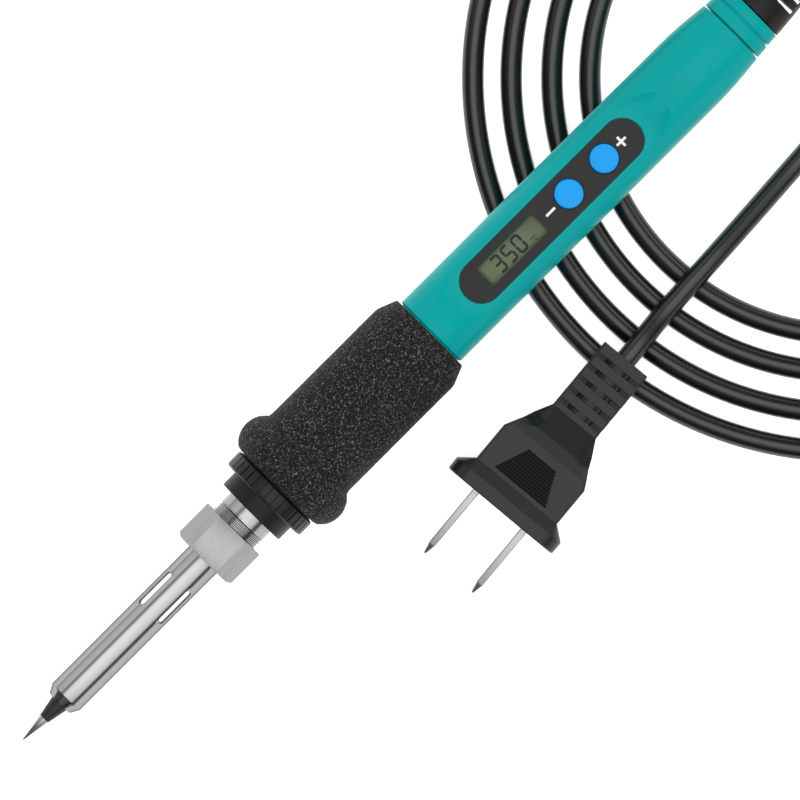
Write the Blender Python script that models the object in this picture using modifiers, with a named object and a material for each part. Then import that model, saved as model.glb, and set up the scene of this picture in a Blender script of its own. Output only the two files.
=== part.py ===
"""Temperature-controlled soldering iron with a display in its handle, a loosely coiled mains cord and
a two-blade plug. Lengths are in metres. A station is a distance along the iron, from the tip's point
to the cord; the iron lies along +X, its buttons face +Z and everything stands on z = 0."""

import math

import bmesh
import bpy
from mathutils import Matrix, Vector

# Clearances, the length that a cutter runs past what it cuts, small chamfers and round shapes' sides
GAP = 0.0003
SLIDE_GAP = 0.00035
OVERCUT = 0.001
CHAMFER = 0.0004
FINE_CHAMFER = 0.0002
SIDES = 32

# Soldering tip, and the ceramic heater inside it
TIP_POINT_R = 0.0002
TIP_NECK_R = 0.0021
TIP_CONE_LENGTH = 0.0107
TIP_BARREL_LENGTH = 0.0230
TIP_SHOULDER_SET = 0.0010
TIP_SHOULDER_SLOPE = 1.5
DRILL_POINT = 0.0010
HEATER_R = 0.0019
HEATER_END_R = 0.00133
HEATER_INSET = 0.0038
HEATER_LENGTH = 0.0601
HEATER_LEAD_R = 0.0005
HEATER_LEAD_SPACING = 0.0016

# Slotted sleeve that holds the tip
SLEEVE_R = 0.0040
SLEEVE_WALL = 0.0005
SLEEVE_LENGTH = 0.0462
SLEEVE_NOSE = 0.0018
SLEEVE_NOSE_R = 0.0028
SLEEVE_NOSE_WALL = 0.0004
SLEEVE_RIM = 0.0015
SLEEVE_RIM_T = 0.0010
SLOT_OFFSET = 0.0261
SLOT_LENGTH = 0.0090
SLOT_WIDTH = 0.0015

# Hexagonal nut, and the threaded socket that it screws on
NUT_LENGTH = 0.0088
NUT_FACE_T = 0.0032
NUT_WALL = 0.00035
THREAD_LENGTH = 0.0062
THREAD_PITCH = 0.00075
THREAD_DEPTH = 0.00035
SOCKET_PLAIN = 0.00275
SOCKET_RELIEF = 0.0001
SOCKET_BORE_R = 0.0044
SEAT_FRONT = 0.0030
SEAT_RIM_T = 0.0012

# Collar, ribbed ring nut and foam grip
COLLAR_WALL = 0.0020
COLLAR_LENGTH = 0.00355
RIM_STEP = 0.00055
RIM_T = 0.0010
RING_LIP = 0.0012
RING_RIBBED = 0.0037
RING_LENGTH = 0.0094
RING_WALL = 0.0015
RING_SKIRT = 0.0007
RIB_COUNT = 36
RIB_DEPTH = 0.0003
RIB_GROOVE = 0.0005
RIB_END = 0.0006
FOAM_LENGTH = 0.0443
FOAM_T = 0.00125
FOAM_FRONT_WALL = 0.00045
FOAM_REAR_WALL = 0.0012
FOAM_CHAMFER = 0.0043
BEAD_RISE = 0.00235
BEAD_LENGTH = 0.0092
BEAD_ARC_R = 0.0055
BEAD_STEPS = 8

# Handle: two half shells and a tail ring
HANDLE_R = 0.00855
HANDLE_WALL = 0.0015
HANDLE_STRAIGHT = 0.0776
HANDLE_TAPER = 0.0093
TAPER_KNEE = 0.46
TAPER_KNEE_DROP = 0.34
NECK_STEP = 0.00055
NECK_WALL = 0.0015
TAIL_R = 0.00775
SPIGOT_LENGTH = 0.0032
SPIGOT_WALL = 0.0011
TAIL_RING_LENGTH = 0.0054
TAIL_RING_WALL = 0.00145
TAIL_REAR_R = 0.0072
TAIL_GROOVE = 0.0006
TAIL_GROOVE_DEPTH = 0.0007
TAIL_LIP = 0.0012

# Flat on the handle, with the panel, the display and the buttons in it
DISH_OFFSET = 0.0028
DISH_LENGTH = 0.0651
DISH_DEPTH = 0.00195
DISH_RAMP = 0.0044
PANEL_OFFSET = 0.0102
PANEL_LENGTH = 0.0496
PANEL_WIDTH = 0.00886
PANEL_T = 0.0005
PANEL_PROUD = 0.00015
FLAT_WALL = 0.00125
WINDOW_OFFSET = 0.0055
WINDOW_LENGTH = 0.0160
WINDOW_WIDTH = 0.0050
LENS_LAP = 0.0007
LENS_T = 0.0008
DISPLAY_LENGTH = 0.0185
DISPLAY_WIDTH = 0.0084
DISPLAY_T = 0.0018
FRAME_T = 0.0017
FRAME_WALL = 0.0014
BUTTON_OFFSET = 0.0297
BUTTON_SPACING = 0.0102
BUTTON_R = 0.0030
BUTTON_RIM = 0.0007
BUTTON_RIM_T = 0.0008
BUTTON_PROUD = 0.0004
SWITCH_SIZE = 0.0052
SWITCH_T = 0.0016
PLUNGER_R = 0.0011
SWITCH_WELL = 0.0012
BOARD_T = 0.0012
BOARD_OFFSET = 0.0060
BOARD_REAR_MARGIN = 0.0076
CONTACT_STRIP_WIDTH = 0.0012

# Parts under the board: place behind its front edge, length, half width, and how much of the room
# under the board they fill. The capacitor and the two resistors are round.
PART_MARGIN = 0.0009
BOARD_PARTS = {
    "microcontroller": (0.0080, 0.0065, 0.0032, 0.25),
    "triac": (0.0180, 0.0065, 0.0030, 0.45),
    "film_capacitor": (0.0460, 0.0110, 0.0025, 1.0),
}
CAN_OFFSET = 0.0330
CAN_LENGTH = 0.0095
RESISTOR_OFFSET = 0.0265
RESISTOR_LENGTH = 0.0055
RESISTOR_R = 0.0009
RESISTOR_SIDE = 0.0020
RESISTOR_DROP = 0.0010

# Cord, its boot and its clamp
CORD_R = 0.00225
BOOT_LENGTH = 0.0326
BOOT_BASE = 0.0048
BOOT_BASE_R = 0.0068
BOOT_END_R = 0.0036
BOOT_NECK = 0.0045
BOOT_SLOTS = 8
BOOT_PITCH = 0.00254
BOOT_SLOT = 0.0010
BOOT_BAR = 0.0007
CLAMP_LENGTH = 0.0040
CLAMP_WALL = 0.0018
CLAMP_INSET = 0.0015
CORD_INSIDE = 0.0140
CORE_R = 0.0007
CORE_SPACING = 0.0022

# How far the leads and cores spread at the board, and how much of them lies on it
LEAD_SPREAD = 0.0030
LEAD_LANDING = 0.0030
LEAD_REACH = 0.0080

# Loose coil of four turns that the iron's tail lies on
COIL_CENTRE = (0.0939, -0.0235)
COIL_TURN_RADII = (0.0770, 0.0691, 0.0607, 0.0529)

# Two-blade plug
PLUG_FRONT = (-0.0197, -0.0360)
PLUG_TURN = math.radians(5.2)
FLANGE_T = 0.0031
FLANGE_WIDTH = 0.0276
FLANGE_HEIGHT = 0.0180
PLUG_SLOPE = 0.0023
PLUG_BODY = 0.0088
PLUG_WIDTH = 0.0213
PLUG_HEIGHT = 0.0144
PLUG_TAPER = 0.0097
GRIP_END = 0.0013
GRIP_SLOPE = 0.0030
RELIEF_LENGTH = 0.0166
RELIEF_WIDTH = 0.0113
RELIEF_HEIGHT = 0.0080
RELIEF_SLOTS = 5
RELIEF_LEAD = 0.0012
RELIEF_PITCH = 0.0030
RELIEF_SLOT = 0.0011
RELIEF_SLOT_DEPTH = 0.0016
BLADE_SPACING = 0.0127
BLADE_HEIGHT = 0.00635
BLADE_T = 0.0015
BLADE_LENGTH = 0.0165
BLADE_ROOT = 0.0055
BLADE_POINT = 0.0018
BLADE_EDGE = 0.0003

# Finishes: colour, roughness, metallic
TEAL = ((0.0, 0.31, 0.30), 0.42, 0.0)
BLACK = ((0.012, 0.012, 0.012), 0.45, 0.0)
FOAM = ((0.030, 0.030, 0.030), 0.95, 0.0)
CHARCOAL = ((0.040, 0.038, 0.038), 0.5, 0.0)
STEEL = ((0.60, 0.60, 0.60), 0.25, 1.0)
NICKEL = ((0.66, 0.66, 0.65), 0.30, 1.0)
TINNED = ((0.72, 0.72, 0.71), 0.20, 1.0)
CERAMIC = ((0.75, 0.72, 0.66), 0.7, 0.0)
BLUE = ((0.03, 0.38, 0.86), 0.4, 0.0)
OLIVE = ((0.16, 0.20, 0.11), 0.2, 0.0)
CLEAR = ((0.80, 0.82, 0.80), 0.05, 0.0)
BOARD_GREEN = ((0.02, 0.16, 0.06), 0.5, 0.0)
RED = ((0.55, 0.02, 0.02), 0.5, 0.0)
WHITE = ((0.80, 0.80, 0.78), 0.5, 0.0)
AMBER = ((0.65, 0.36, 0.04), 0.4, 0.0)

# Stations, from the point back
SLEEVE_FRONT = TIP_CONE_LENGTH - 0.0001
SLEEVE_REAR = SLEEVE_FRONT + SLEEVE_LENGTH
NUT_FRONT = SLEEVE_REAR - SLEEVE_RIM_T - GAP - NUT_FACE_T
SOCKET_FRONT = SLEEVE_REAR + GAP
COLLAR_FRONT = SOCKET_FRONT + THREAD_LENGTH + SOCKET_PLAIN
RING_FRONT = COLLAR_FRONT + COLLAR_LENGTH
COLLAR_RIM = RING_FRONT + RING_LIP + GAP
SOCKET_RIM = COLLAR_RIM + RIM_T + GAP
NECK_FRONT = SOCKET_RIM + RIM_T + GAP
THREAD_REAR = RING_FRONT + RING_LENGTH - GAP
FOAM_FRONT = RING_FRONT + RING_RIBBED + GAP
FOAM_REAR = FOAM_FRONT + FOAM_LENGTH
BODY_FRONT = FOAM_REAR + GAP
TAPER_FRONT = BODY_FRONT + HANDLE_STRAIGHT
BODY_REAR = TAPER_FRONT + HANDLE_TAPER
SPIGOT_REAR = BODY_REAR + SPIGOT_LENGTH
TAIL_FRONT = BODY_REAR + TAIL_GROOVE
TAIL_REAR = TAIL_FRONT + TAIL_RING_LENGTH
BOOT_FRONT = TAIL_REAR + GAP
BOOT_REAR = BOOT_FRONT + BOOT_LENGTH
PANEL_FRONT = BODY_FRONT + PANEL_OFFSET
WINDOW_FRONT = PANEL_FRONT + WINDOW_OFFSET
BOARD_FRONT = BODY_FRONT + BOARD_OFFSET
BOARD_REAR = TAPER_FRONT - BOARD_REAR_MARGIN
CORD_FRONT = SPIGOT_REAR - CORD_INSIDE

# Radii, from the sleeve out
SLEEVE_BORE_R = SLEEVE_R - SLEEVE_WALL
TIP_BARREL_R = SLEEVE_BORE_R - SLIDE_GAP
SLEEVE_RIM_R = SLEEVE_R + SLEEVE_RIM
THREAD_R = SLEEVE_RIM_R + SLIDE_GAP
NUT_BORE_R = THREAD_R + GAP
NUT_FLATS = 2 * (NUT_BORE_R + NUT_WALL)
SOCKET_R = THREAD_R - SOCKET_RELIEF
COLLAR_BORE_R = SOCKET_R + GAP
COLLAR_R = COLLAR_BORE_R + COLLAR_WALL
RIM_R = COLLAR_R + RIM_STEP
RING_BORE_R = RIM_R + GAP
RING_R = RING_BORE_R + RING_WALL
SKIRT_R = RING_BORE_R + RING_SKIRT
NECK_R = HANDLE_R - NECK_STEP
NECK_BORE_R = NECK_R - NECK_WALL
HANDLE_BORE_R = HANDLE_R - HANDLE_WALL
FOAM_BORE_R = NECK_R + GAP
FOAM_COUNTERBORE_R = SKIRT_R + GAP
FOAM_R = max(FOAM_COUNTERBORE_R, FOAM_BORE_R) + FOAM_T
FOAM_REAR_R = FOAM_BORE_R + FOAM_REAR_WALL
BEAD_R = FOAM_R + BEAD_RISE
TAIL_BORE_R = TAIL_R - TAIL_RING_WALL
SPIGOT_R = TAIL_BORE_R - GAP
SPIGOT_BORE_R = SPIGOT_R - SPIGOT_WALL
CORD_HOLE_R = CORD_R + GAP

# Heights over the iron's axis, from the flat down
FLAT_Z = HANDLE_R - DISH_DEPTH
PANEL_TOP = FLAT_Z + PANEL_PROUD
PANEL_BASE = PANEL_TOP - PANEL_T
RECESS_Z = PANEL_BASE - GAP
FLAT_INNER_Z = RECESS_Z - FLAT_WALL
DISPLAY_TOP = FLAT_INNER_Z - GAP
FRAME_TOP = DISPLAY_TOP - DISPLAY_T - GAP
BOARD_TOP = FRAME_TOP - FRAME_T - GAP
BOARD_BASE = BOARD_TOP - BOARD_T
SWITCH_TOP = BOARD_TOP + GAP + SWITCH_T
BUTTON_RIM_BASE = FLAT_INNER_Z - GAP - BUTTON_RIM_T

# The bead of the grip and the coil under the handle carry the iron
AXIS_HEIGHT = max(BEAD_R, HANDLE_R + 2 * CORD_R + GAP)


def clear_scene():
    for leftover in list(bpy.data.objects):
        bpy.data.objects.remove(leftover, do_unlink=True)


def new_collection(name):
    made = bpy.data.collections.new(name)
    bpy.context.scene.collection.children.link(made)
    return made


clear_scene()
PARTS = new_collection("soldering_iron")
CUTTERS = new_collection("cutters")


def new_empty(name, place, turn=0.0):
    empty = bpy.data.objects.new(name, None)
    empty.location = place
    empty.rotation_euler.z = turn
    PARTS.objects.link(empty)
    return empty


IRON = new_empty("iron_axis", (-BOOT_REAR / 2, 0.0, AXIS_HEIGHT))
PLUG = new_empty("plug_axis", (*PLUG_FRONT, FLANGE_HEIGHT / 2), PLUG_TURN)


def place(obj, where=(0.0, 0.0, 0.0), parent=IRON):
    PARTS.objects.link(obj)
    obj.location = where
    obj.parent = parent
    return obj


def paint(obj, finish):
    colour, roughness, metallic = finish
    material = bpy.data.materials.new(obj.name + "_finish")
    material.use_nodes = True
    shader = material.node_tree.nodes["Principled BSDF"]
    shader.inputs["Base Color"].default_value = (*colour, 1.0)
    shader.inputs["Roughness"].default_value = roughness
    shader.inputs["Metallic"].default_value = metallic
    obj.data.materials.clear()
    obj.data.materials.append(material)
    return obj


def smooth(obj, angle=math.radians(35)):
    obj.data.shade_smooth()
    obj.data.set_sharp_from_angle(angle=angle)
    return obj


def as_cutter(obj):
    PARTS.objects.unlink(obj)
    CUTTERS.objects.link(obj)
    obj.hide_render = True
    obj.display_type = "WIRE"
    return obj


def combine(obj, other, operation="DIFFERENCE"):
    boolean = obj.modifiers.new(other.name, "BOOLEAN")
    boolean.object = other
    boolean.operation = operation
    return obj


def bevel(obj, width, segments=1):
    edges = obj.modifiers.new("edges", "BEVEL")
    edges.width = width
    edges.segments = segments
    edges.limit_method = "ANGLE"
    edges.angle_limit = math.radians(40)
    return obj


def turned(name, outline, sides=SIDES, parent=IRON):
    """A piece turned about the iron's axis. The outline, of (station, radius), runs back along the
    outer side; it closes on itself, or ends on the axis where its ends have no radius."""
    start = outline[0][0]
    solid = outline[0][1] == 0.0
    mesh = bpy.data.meshes.new(name)
    points = [(station - start, radius, 0.0) for station, radius in outline]
    edges = [(i, i + 1) for i in range(len(points) - 1)]
    if not solid:
        edges.append((len(points) - 1, 0))
    mesh.from_pydata(points, edges, [])
    obj = place(bpy.data.objects.new(name, mesh), (start, 0.0, 0.0), parent)
    screw = obj.modifiers.new("turn", "SCREW")
    screw.axis = "X"
    screw.steps = sides
    screw.render_steps = sides
    screw.use_merge_vertices = True
    screw.merge_threshold = 0.000001
    screw.use_normal_flip = True
    return obj


def block(name, low, high, parent=IRON):
    """A box between two corners, with its origin in its middle."""
    middle = [(a + b) / 2 for a, b in zip(low, high)]
    size = [b - a for a, b in zip(low, high)]
    mesh = bpy.data.meshes.new(name)
    shape = bmesh.new()
    bmesh.ops.create_cube(shape, size=1.0, matrix=Matrix.Diagonal((*size, 1.0)))
    shape.to_mesh(mesh)
    shape.free()
    return place(bpy.data.objects.new(name, mesh), middle, parent)


def post(name, radius, centre, low, high, sides=SIDES, parent=IRON):
    """An upright round piece between two heights."""
    mesh = bpy.data.meshes.new(name)
    shape = bmesh.new()
    half_step = Matrix.Rotation(math.pi / sides, 4, "Z")
    bmesh.ops.create_cone(
        shape,
        cap_ends=True,
        segments=sides,
        radius1=radius,
        radius2=radius,
        depth=high - low,
        matrix=half_step,
    )
    shape.to_mesh(mesh)
    shape.free()
    where = (centre[0], centre[1], (low + high) / 2)
    return place(bpy.data.objects.new(name, mesh), where, parent)


def plate(name, outline, thickness, where=(0.0, 0.0, 0.0), parent=IRON):
    """A flat outline given a thickness, made a mesh so that it can be cut and can cut."""
    curve = bpy.data.curves.new(name, "CURVE")
    curve.dimensions = "2D"
    curve.fill_mode = "BOTH"
    curve.extrude = thickness / 2
    spline = curve.splines.new("POLY")
    spline.points.add(len(outline) - 1)
    for point, (x, y) in zip(spline.points, outline):
        point.co = (x, y, 0.0, 1.0)
    spline.use_cyclic_u = True
    drawn = bpy.data.objects.new(name + "_outline", curve)
    PARTS.objects.link(drawn)
    graph = bpy.context.evaluated_depsgraph_get()
    mesh = bpy.data.meshes.new_from_object(drawn.evaluated_get(graph))
    bpy.data.objects.remove(drawn, do_unlink=True)
    shape = bmesh.new()
    shape.from_mesh(mesh)
    bmesh.ops.remove_doubles(shape, verts=shape.verts, dist=0.000001)
    bmesh.ops.dissolve_limit(shape, angle_limit=math.radians(1), verts=shape.verts, edges=shape.edges)
    bmesh.ops.recalc_face_normals(shape, faces=shape.faces)
    shape.to_mesh(mesh)
    shape.free()
    mesh.name = name
    return place(bpy.data.objects.new(name, mesh), where, parent)


def stadium(length, width, steps=10):
    """A strip with half-round ends, centred on the origin and running along X."""
    radius = width / 2
    ends = []
    for centre, start in ((length / 2 - radius, -90), (radius - length / 2, 90)):
        for i in range(steps + 1):
            angle = math.radians(start + 180 * i / steps)
            ends.append((centre + radius * math.cos(angle), radius * math.sin(angle)))
    return ends


def tube(name, points, radius, sides=2, parent=IRON):
    curve = bpy.data.curves.new(name, "CURVE")
    curve.dimensions = "3D"
    curve.bevel_depth = radius
    curve.bevel_resolution = sides
    curve.use_fill_caps = True
    spline = curve.splines.new("POLY")
    spline.points.add(len(points) - 1)
    for point, where in zip(spline.points, points):
        point.co = (*where, 1.0)
    return place(bpy.data.objects.new(name, curve), (0.0, 0.0, 0.0), parent)


def smooth_route(knots, spacing):
    """Points read at even steps from a centripetal Catmull-Rom curve through the knots."""
    knots = [Vector(k) for k in knots]
    knots = [2 * knots[0] - knots[1], *knots, 2 * knots[-1] - knots[-2]]
    fine = []
    for a, b, c, d in zip(knots, knots[1:], knots[2:], knots[3:]):
        t1 = math.sqrt((b - a).length)
        t2 = t1 + math.sqrt((c - b).length)
        t3 = t2 + math.sqrt((d - c).length)
        for i in range(24):
            t = t1 + (t2 - t1) * i / 24
            ab = a.lerp(b, t / t1)
            bc = b.lerp(c, (t - t1) / (t2 - t1))
            cd = c.lerp(d, (t - t2) / (t3 - t2))
            fine.append(ab.lerp(bc, t / t2).lerp(bc.lerp(cd, (t - t1) / (t3 - t1)), (t - t1) / (t2 - t1)))
    fine.append(knots[-2])
    lengths = [(b - a).length for a, b in zip(fine, fine[1:])]
    count = max(2, round(sum(lengths) / spacing))
    route, travelled, wanted = [fine[0]], 0.0, 1
    for start, end, length in zip(fine, fine[1:], lengths):
        while wanted < count and travelled + length >= sum(lengths) * wanted / count:
            share = (sum(lengths) * wanted / count - travelled) / length
            route.append(start.lerp(end, share))
            wanted += 1
        travelled += length
    return [*route, fine[-1]]


def make_tip():
    shoulder = SLEEVE_FRONT + SLEEVE_NOSE - TIP_SHOULDER_SET
    barrel = shoulder + (TIP_BARREL_R - TIP_NECK_R) * TIP_SHOULDER_SLOPE
    rear = barrel + TIP_BARREL_LENGTH
    bore_front = TIP_CONE_LENGTH + HEATER_INSET
    outline = [
        (0.0, 0.0),
        (0.0, TIP_POINT_R),
        (TIP_CONE_LENGTH, TIP_NECK_R),
        (shoulder, TIP_NECK_R),
        (barrel, TIP_BARREL_R),
        (rear, TIP_BARREL_R),
        (rear, HEATER_R + GAP),
        (bore_front, HEATER_R + GAP),
        (bore_front - DRILL_POINT, 0.0),
    ]
    return paint(smooth(turned("soldering_tip", outline)), TINNED)


def make_heater():
    front = TIP_CONE_LENGTH + HEATER_INSET + GAP
    rear = front + HEATER_LENGTH
    outline = [
        (front, 0.0),
        (front, HEATER_END_R),
        (front + HEATER_R - HEATER_END_R, HEATER_R),
        (rear, HEATER_R),
        (rear, 0.0),
    ]
    paint(smooth(turned("heating_element", outline, 24)), CERAMIC)
    return rear


def make_sleeve():
    nose_bore = TIP_NECK_R + SLIDE_GAP
    outline = [
        (SLEEVE_FRONT, SLEEVE_NOSE_R),
        (SLEEVE_FRONT + SLEEVE_NOSE, SLEEVE_R),
        (SLEEVE_REAR - SLEEVE_RIM_T, SLEEVE_R),
        (SLEEVE_REAR - SLEEVE_RIM_T, SLEEVE_RIM_R),
        (SLEEVE_REAR, SLEEVE_RIM_R),
        (SLEEVE_REAR, SLEEVE_BORE_R),
        (SLEEVE_FRONT + SLEEVE_NOSE + FINE_CHAMFER, SLEEVE_BORE_R),
        (SLEEVE_FRONT + SLEEVE_NOSE_WALL, nose_bore),
        (SLEEVE_FRONT, nose_bore),
    ]
    sleeve = paint(smooth(turned("tip_sleeve", outline)), STEEL)
    middle = SLEEVE_FRONT + SLOT_OFFSET + SLOT_LENGTH / 2
    for side, angle in (("left", 45), ("right", -45)):
        slot = plate(f"slot_{side}", stadium(SLOT_LENGTH, SLOT_WIDTH, 6), 4 * SLEEVE_R, (middle, 0.0, 0.0))
        slot.rotation_euler.x = math.radians(angle)
        combine(sleeve, as_cutter(slot))


def make_nut():
    """Hexagon with a corner at each side, so that a flat faces up, bored for the sleeve and the thread."""
    mesh = bpy.data.meshes.new("retaining_nut")
    corner_r = NUT_FLATS / math.sqrt(3)
    shape = bmesh.new()
    bmesh.ops.create_cone(
        shape,
        cap_ends=True,
        segments=6,
        radius1=corner_r,
        radius2=corner_r,
        depth=NUT_LENGTH,
        matrix=Matrix.Rotation(math.pi / 2, 4, "Y"),
    )
    shape.to_mesh(mesh)
    shape.free()
    nut = place(bpy.data.objects.new("retaining_nut", mesh), (NUT_FRONT + NUT_LENGTH / 2, 0.0, 0.0))
    face = NUT_FRONT + NUT_FACE_T
    rear = NUT_FRONT + NUT_LENGTH + OVERCUT
    front = NUT_FRONT - OVERCUT
    bore = [
        (front, 0.0),
        (front, SLEEVE_R + GAP),
        (face, SLEEVE_R + GAP),
        (face, NUT_BORE_R),
        (rear, NUT_BORE_R),
        (rear, 0.0),
    ]
    combine(nut, as_cutter(turned("nut_bore", bore)))
    paint(nut, NICKEL)


def make_socket():
    """The thread is a row of shallow rings: its true helix is finer than the solid needs."""
    outline = [(SOCKET_FRONT, THREAD_R - THREAD_DEPTH)]
    turns = int(THREAD_LENGTH / THREAD_PITCH)
    for i in range(turns):
        crest = SOCKET_FRONT + (i + 0.5) * THREAD_PITCH
        outline += [(crest, THREAD_R), (crest + THREAD_PITCH / 2, THREAD_R - THREAD_DEPTH)]
    outline += [
        (SOCKET_FRONT + THREAD_LENGTH, SOCKET_R),
        (SOCKET_RIM, SOCKET_R),
        (SOCKET_RIM, RIM_R),
        (SOCKET_RIM + RIM_T, RIM_R),
        (SOCKET_RIM + RIM_T, SOCKET_BORE_R),
        (SOCKET_FRONT, SOCKET_BORE_R),
    ]
    paint(turned("threaded_socket", outline, 24), NICKEL)


def make_heater_seat():
    front = SOCKET_FRONT + SEAT_FRONT
    rim = NECK_FRONT + GAP
    outline = [
        (front, SOCKET_BORE_R - GAP),
        (rim, SOCKET_BORE_R - GAP),
        (rim, NECK_BORE_R - GAP),
        (rim + SEAT_RIM_T, NECK_BORE_R - GAP),
        (rim + SEAT_RIM_T, HEATER_R + GAP),
        (front, HEATER_R + GAP),
    ]
    paint(smooth(turned("heater_seat", outline, 24)), CERAMIC)


def make_collar():
    outline = [
        (COLLAR_FRONT, COLLAR_R - CHAMFER),
        (COLLAR_FRONT + CHAMFER, COLLAR_R),
        (COLLAR_RIM, COLLAR_R),
        (COLLAR_RIM, RIM_R),
        (COLLAR_RIM + RIM_T, RIM_R),
        (COLLAR_RIM + RIM_T, COLLAR_BORE_R),
        (COLLAR_FRONT, COLLAR_BORE_R),
    ]
    paint(smooth(turned("front_collar", outline)), BLACK)


def make_ring_nut():
    rear = RING_FRONT + RING_LENGTH
    ribs_rear = RING_FRONT + RING_RIBBED
    outline = [
        (RING_FRONT, RING_R - CHAMFER),
        (RING_FRONT + CHAMFER, RING_R),
        (ribs_rear, RING_R),
        (ribs_rear, SKIRT_R),
        (rear, SKIRT_R),
        (rear, RING_BORE_R),
        (RING_FRONT + RING_LIP, RING_BORE_R),
        (RING_FRONT + RING_LIP, COLLAR_R + GAP),
        (RING_FRONT, COLLAR_R + GAP),
    ]
    ring = turned("ring_nut", outline, RIB_COUNT)
    combine(ring, rib_grooves())
    paint(ring, BLACK)


def rib_grooves():
    """One cutter for all the grooves between the ring nut's ribs: bars round it that run out in front."""
    inner, outer = RING_R - RIB_DEPTH, RING_R + OVERCUT
    front = RING_FRONT - OVERCUT
    length = RING_RIBBED - RIB_END + OVERCUT
    mesh = bpy.data.meshes.new("rib_grooves")
    shape = bmesh.new()
    for i in range(RIB_COUNT):
        spin = Matrix.Rotation(2 * math.pi * i / RIB_COUNT, 4, "X")
        middle = Matrix.Translation((front + length / 2, 0.0, (inner + outer) / 2))
        size = Matrix.Diagonal((length, RIB_GROOVE, outer - inner, 1.0))
        bmesh.ops.create_cube(shape, size=1.0, matrix=spin @ middle @ size)
    shape.to_mesh(mesh)
    shape.free()
    return as_cutter(place(bpy.data.objects.new("rib_grooves", mesh)))


def make_grip():
    """Foam sleeve with a fat bead in front, turned in one piece."""
    skirt_end = RING_FRONT + RING_LENGTH + GAP
    bead_end = FOAM_FRONT + BEAD_LENGTH
    middle = FOAM_FRONT + BEAD_LENGTH / 2
    centre_r = BEAD_R - BEAD_ARC_R
    first = math.pi - math.acos((BEAD_LENGTH / 2 - FINE_CHAMFER) / BEAD_ARC_R)
    outline = [(FOAM_FRONT, FOAM_COUNTERBORE_R + FOAM_FRONT_WALL)]
    for i in range(BEAD_STEPS + 1):
        angle = first - (2 * first - math.pi) * i / BEAD_STEPS
        outline.append((middle + BEAD_ARC_R * math.cos(angle), centre_r + BEAD_ARC_R * math.sin(angle)))
    outline += [
        (bead_end + CHAMFER, FOAM_R),
        (FOAM_REAR - FOAM_CHAMFER, FOAM_R),
        (FOAM_REAR, FOAM_REAR_R),
        (FOAM_REAR, FOAM_BORE_R),
        (skirt_end, FOAM_BORE_R),
        (skirt_end, FOAM_COUNTERBORE_R),
        (FOAM_FRONT, FOAM_COUNTERBORE_R),
    ]
    paint(smooth(turned("foam_grip", outline)), FOAM)


def whole_shell(name):
    """The handle's tube before it is split: neck, straight body, taper and the spigot at its tail."""
    outline = [
        (NECK_FRONT, RIM_R),
        (THREAD_REAR, RIM_R),
        (THREAD_REAR, NECK_R),
        (BODY_FRONT, NECK_R),
        (BODY_FRONT, HANDLE_R),
        (TAPER_FRONT, HANDLE_R),
        (TAPER_FRONT + HANDLE_TAPER * TAPER_KNEE, HANDLE_R - (HANDLE_R - TAIL_R) * TAPER_KNEE_DROP),
        (BODY_REAR, TAIL_R),
        (BODY_REAR, SPIGOT_R),
        (SPIGOT_REAR, SPIGOT_R),
        (SPIGOT_REAR, SPIGOT_BORE_R),
        (BODY_REAR - HANDLE_WALL, SPIGOT_BORE_R),
        (TAPER_FRONT, HANDLE_BORE_R),
        (BODY_FRONT + HANDLE_WALL, HANDLE_BORE_R),
        (BODY_FRONT + HANDLE_WALL, NECK_BORE_R),
        (NECK_FRONT, NECK_BORE_R),
    ]
    return smooth(turned(name, outline, 40))


def flat_roof():
    """Fills the top of the bore down to a flat, so that the wall under the dish stays thick."""
    front = BODY_FRONT + HANDLE_WALL / 2
    rear = BODY_FRONT + DISH_OFFSET + DISH_LENGTH + HANDLE_WALL
    radius = HANDLE_R - HANDLE_WALL / 2
    roof = turned("flat_roof", [(front, 0.0), (front, radius), (rear, radius), (rear, 0.0)], 40)
    return as_cutter(combine(roof, half_space("below_roof", -2 * HANDLE_R, FLAT_INNER_Z)))


def half_space(name, low, high):
    far = 2 * HANDLE_R
    return as_cutter(block(name, (NECK_FRONT - OVERCUT, -far, low), (SPIGOT_REAR + OVERCUT, far, high)))


def dish_cutter():
    """Flat-floored scoop whose round ends ramp up to the handle's surface."""
    half_width = math.sqrt(HANDLE_R**2 - FLAT_Z**2)
    floor_length = DISH_LENGTH - 2 * DISH_RAMP
    height = DISH_DEPTH + OVERCUT
    middle = BODY_FRONT + DISH_OFFSET + DISH_LENGTH / 2
    where = (middle, 0.0, FLAT_Z + height / 2)
    dish = plate("dish", stadium(floor_length, 2 * half_width, 12), height, where)
    for vertex in dish.data.vertices:
        if vertex.co.z > 0:
            centre = math.copysign(max(0.0, floor_length / 2 - half_width), vertex.co.x)
            out = Vector((vertex.co.x - centre, vertex.co.y, 0.0))
            vertex.co += out.normalized() * DISH_RAMP * height / DISH_DEPTH
    return as_cutter(dish)


def button_centres():
    first = PANEL_FRONT + BUTTON_OFFSET
    return {"minus": first, "plus": first + BUTTON_SPACING}


def panel_openings():
    """The cutters that the top shell and the panel share: one round hole for each button."""
    holes = []
    for sign, station in button_centres().items():
        bottom, top = FLAT_INNER_Z - OVERCUT, PANEL_TOP + OVERCUT
        hole = post(f"{sign}_hole", BUTTON_R + GAP, (station, 0.0), bottom, top)
        holes.append(as_cutter(hole))
    return holes


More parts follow.
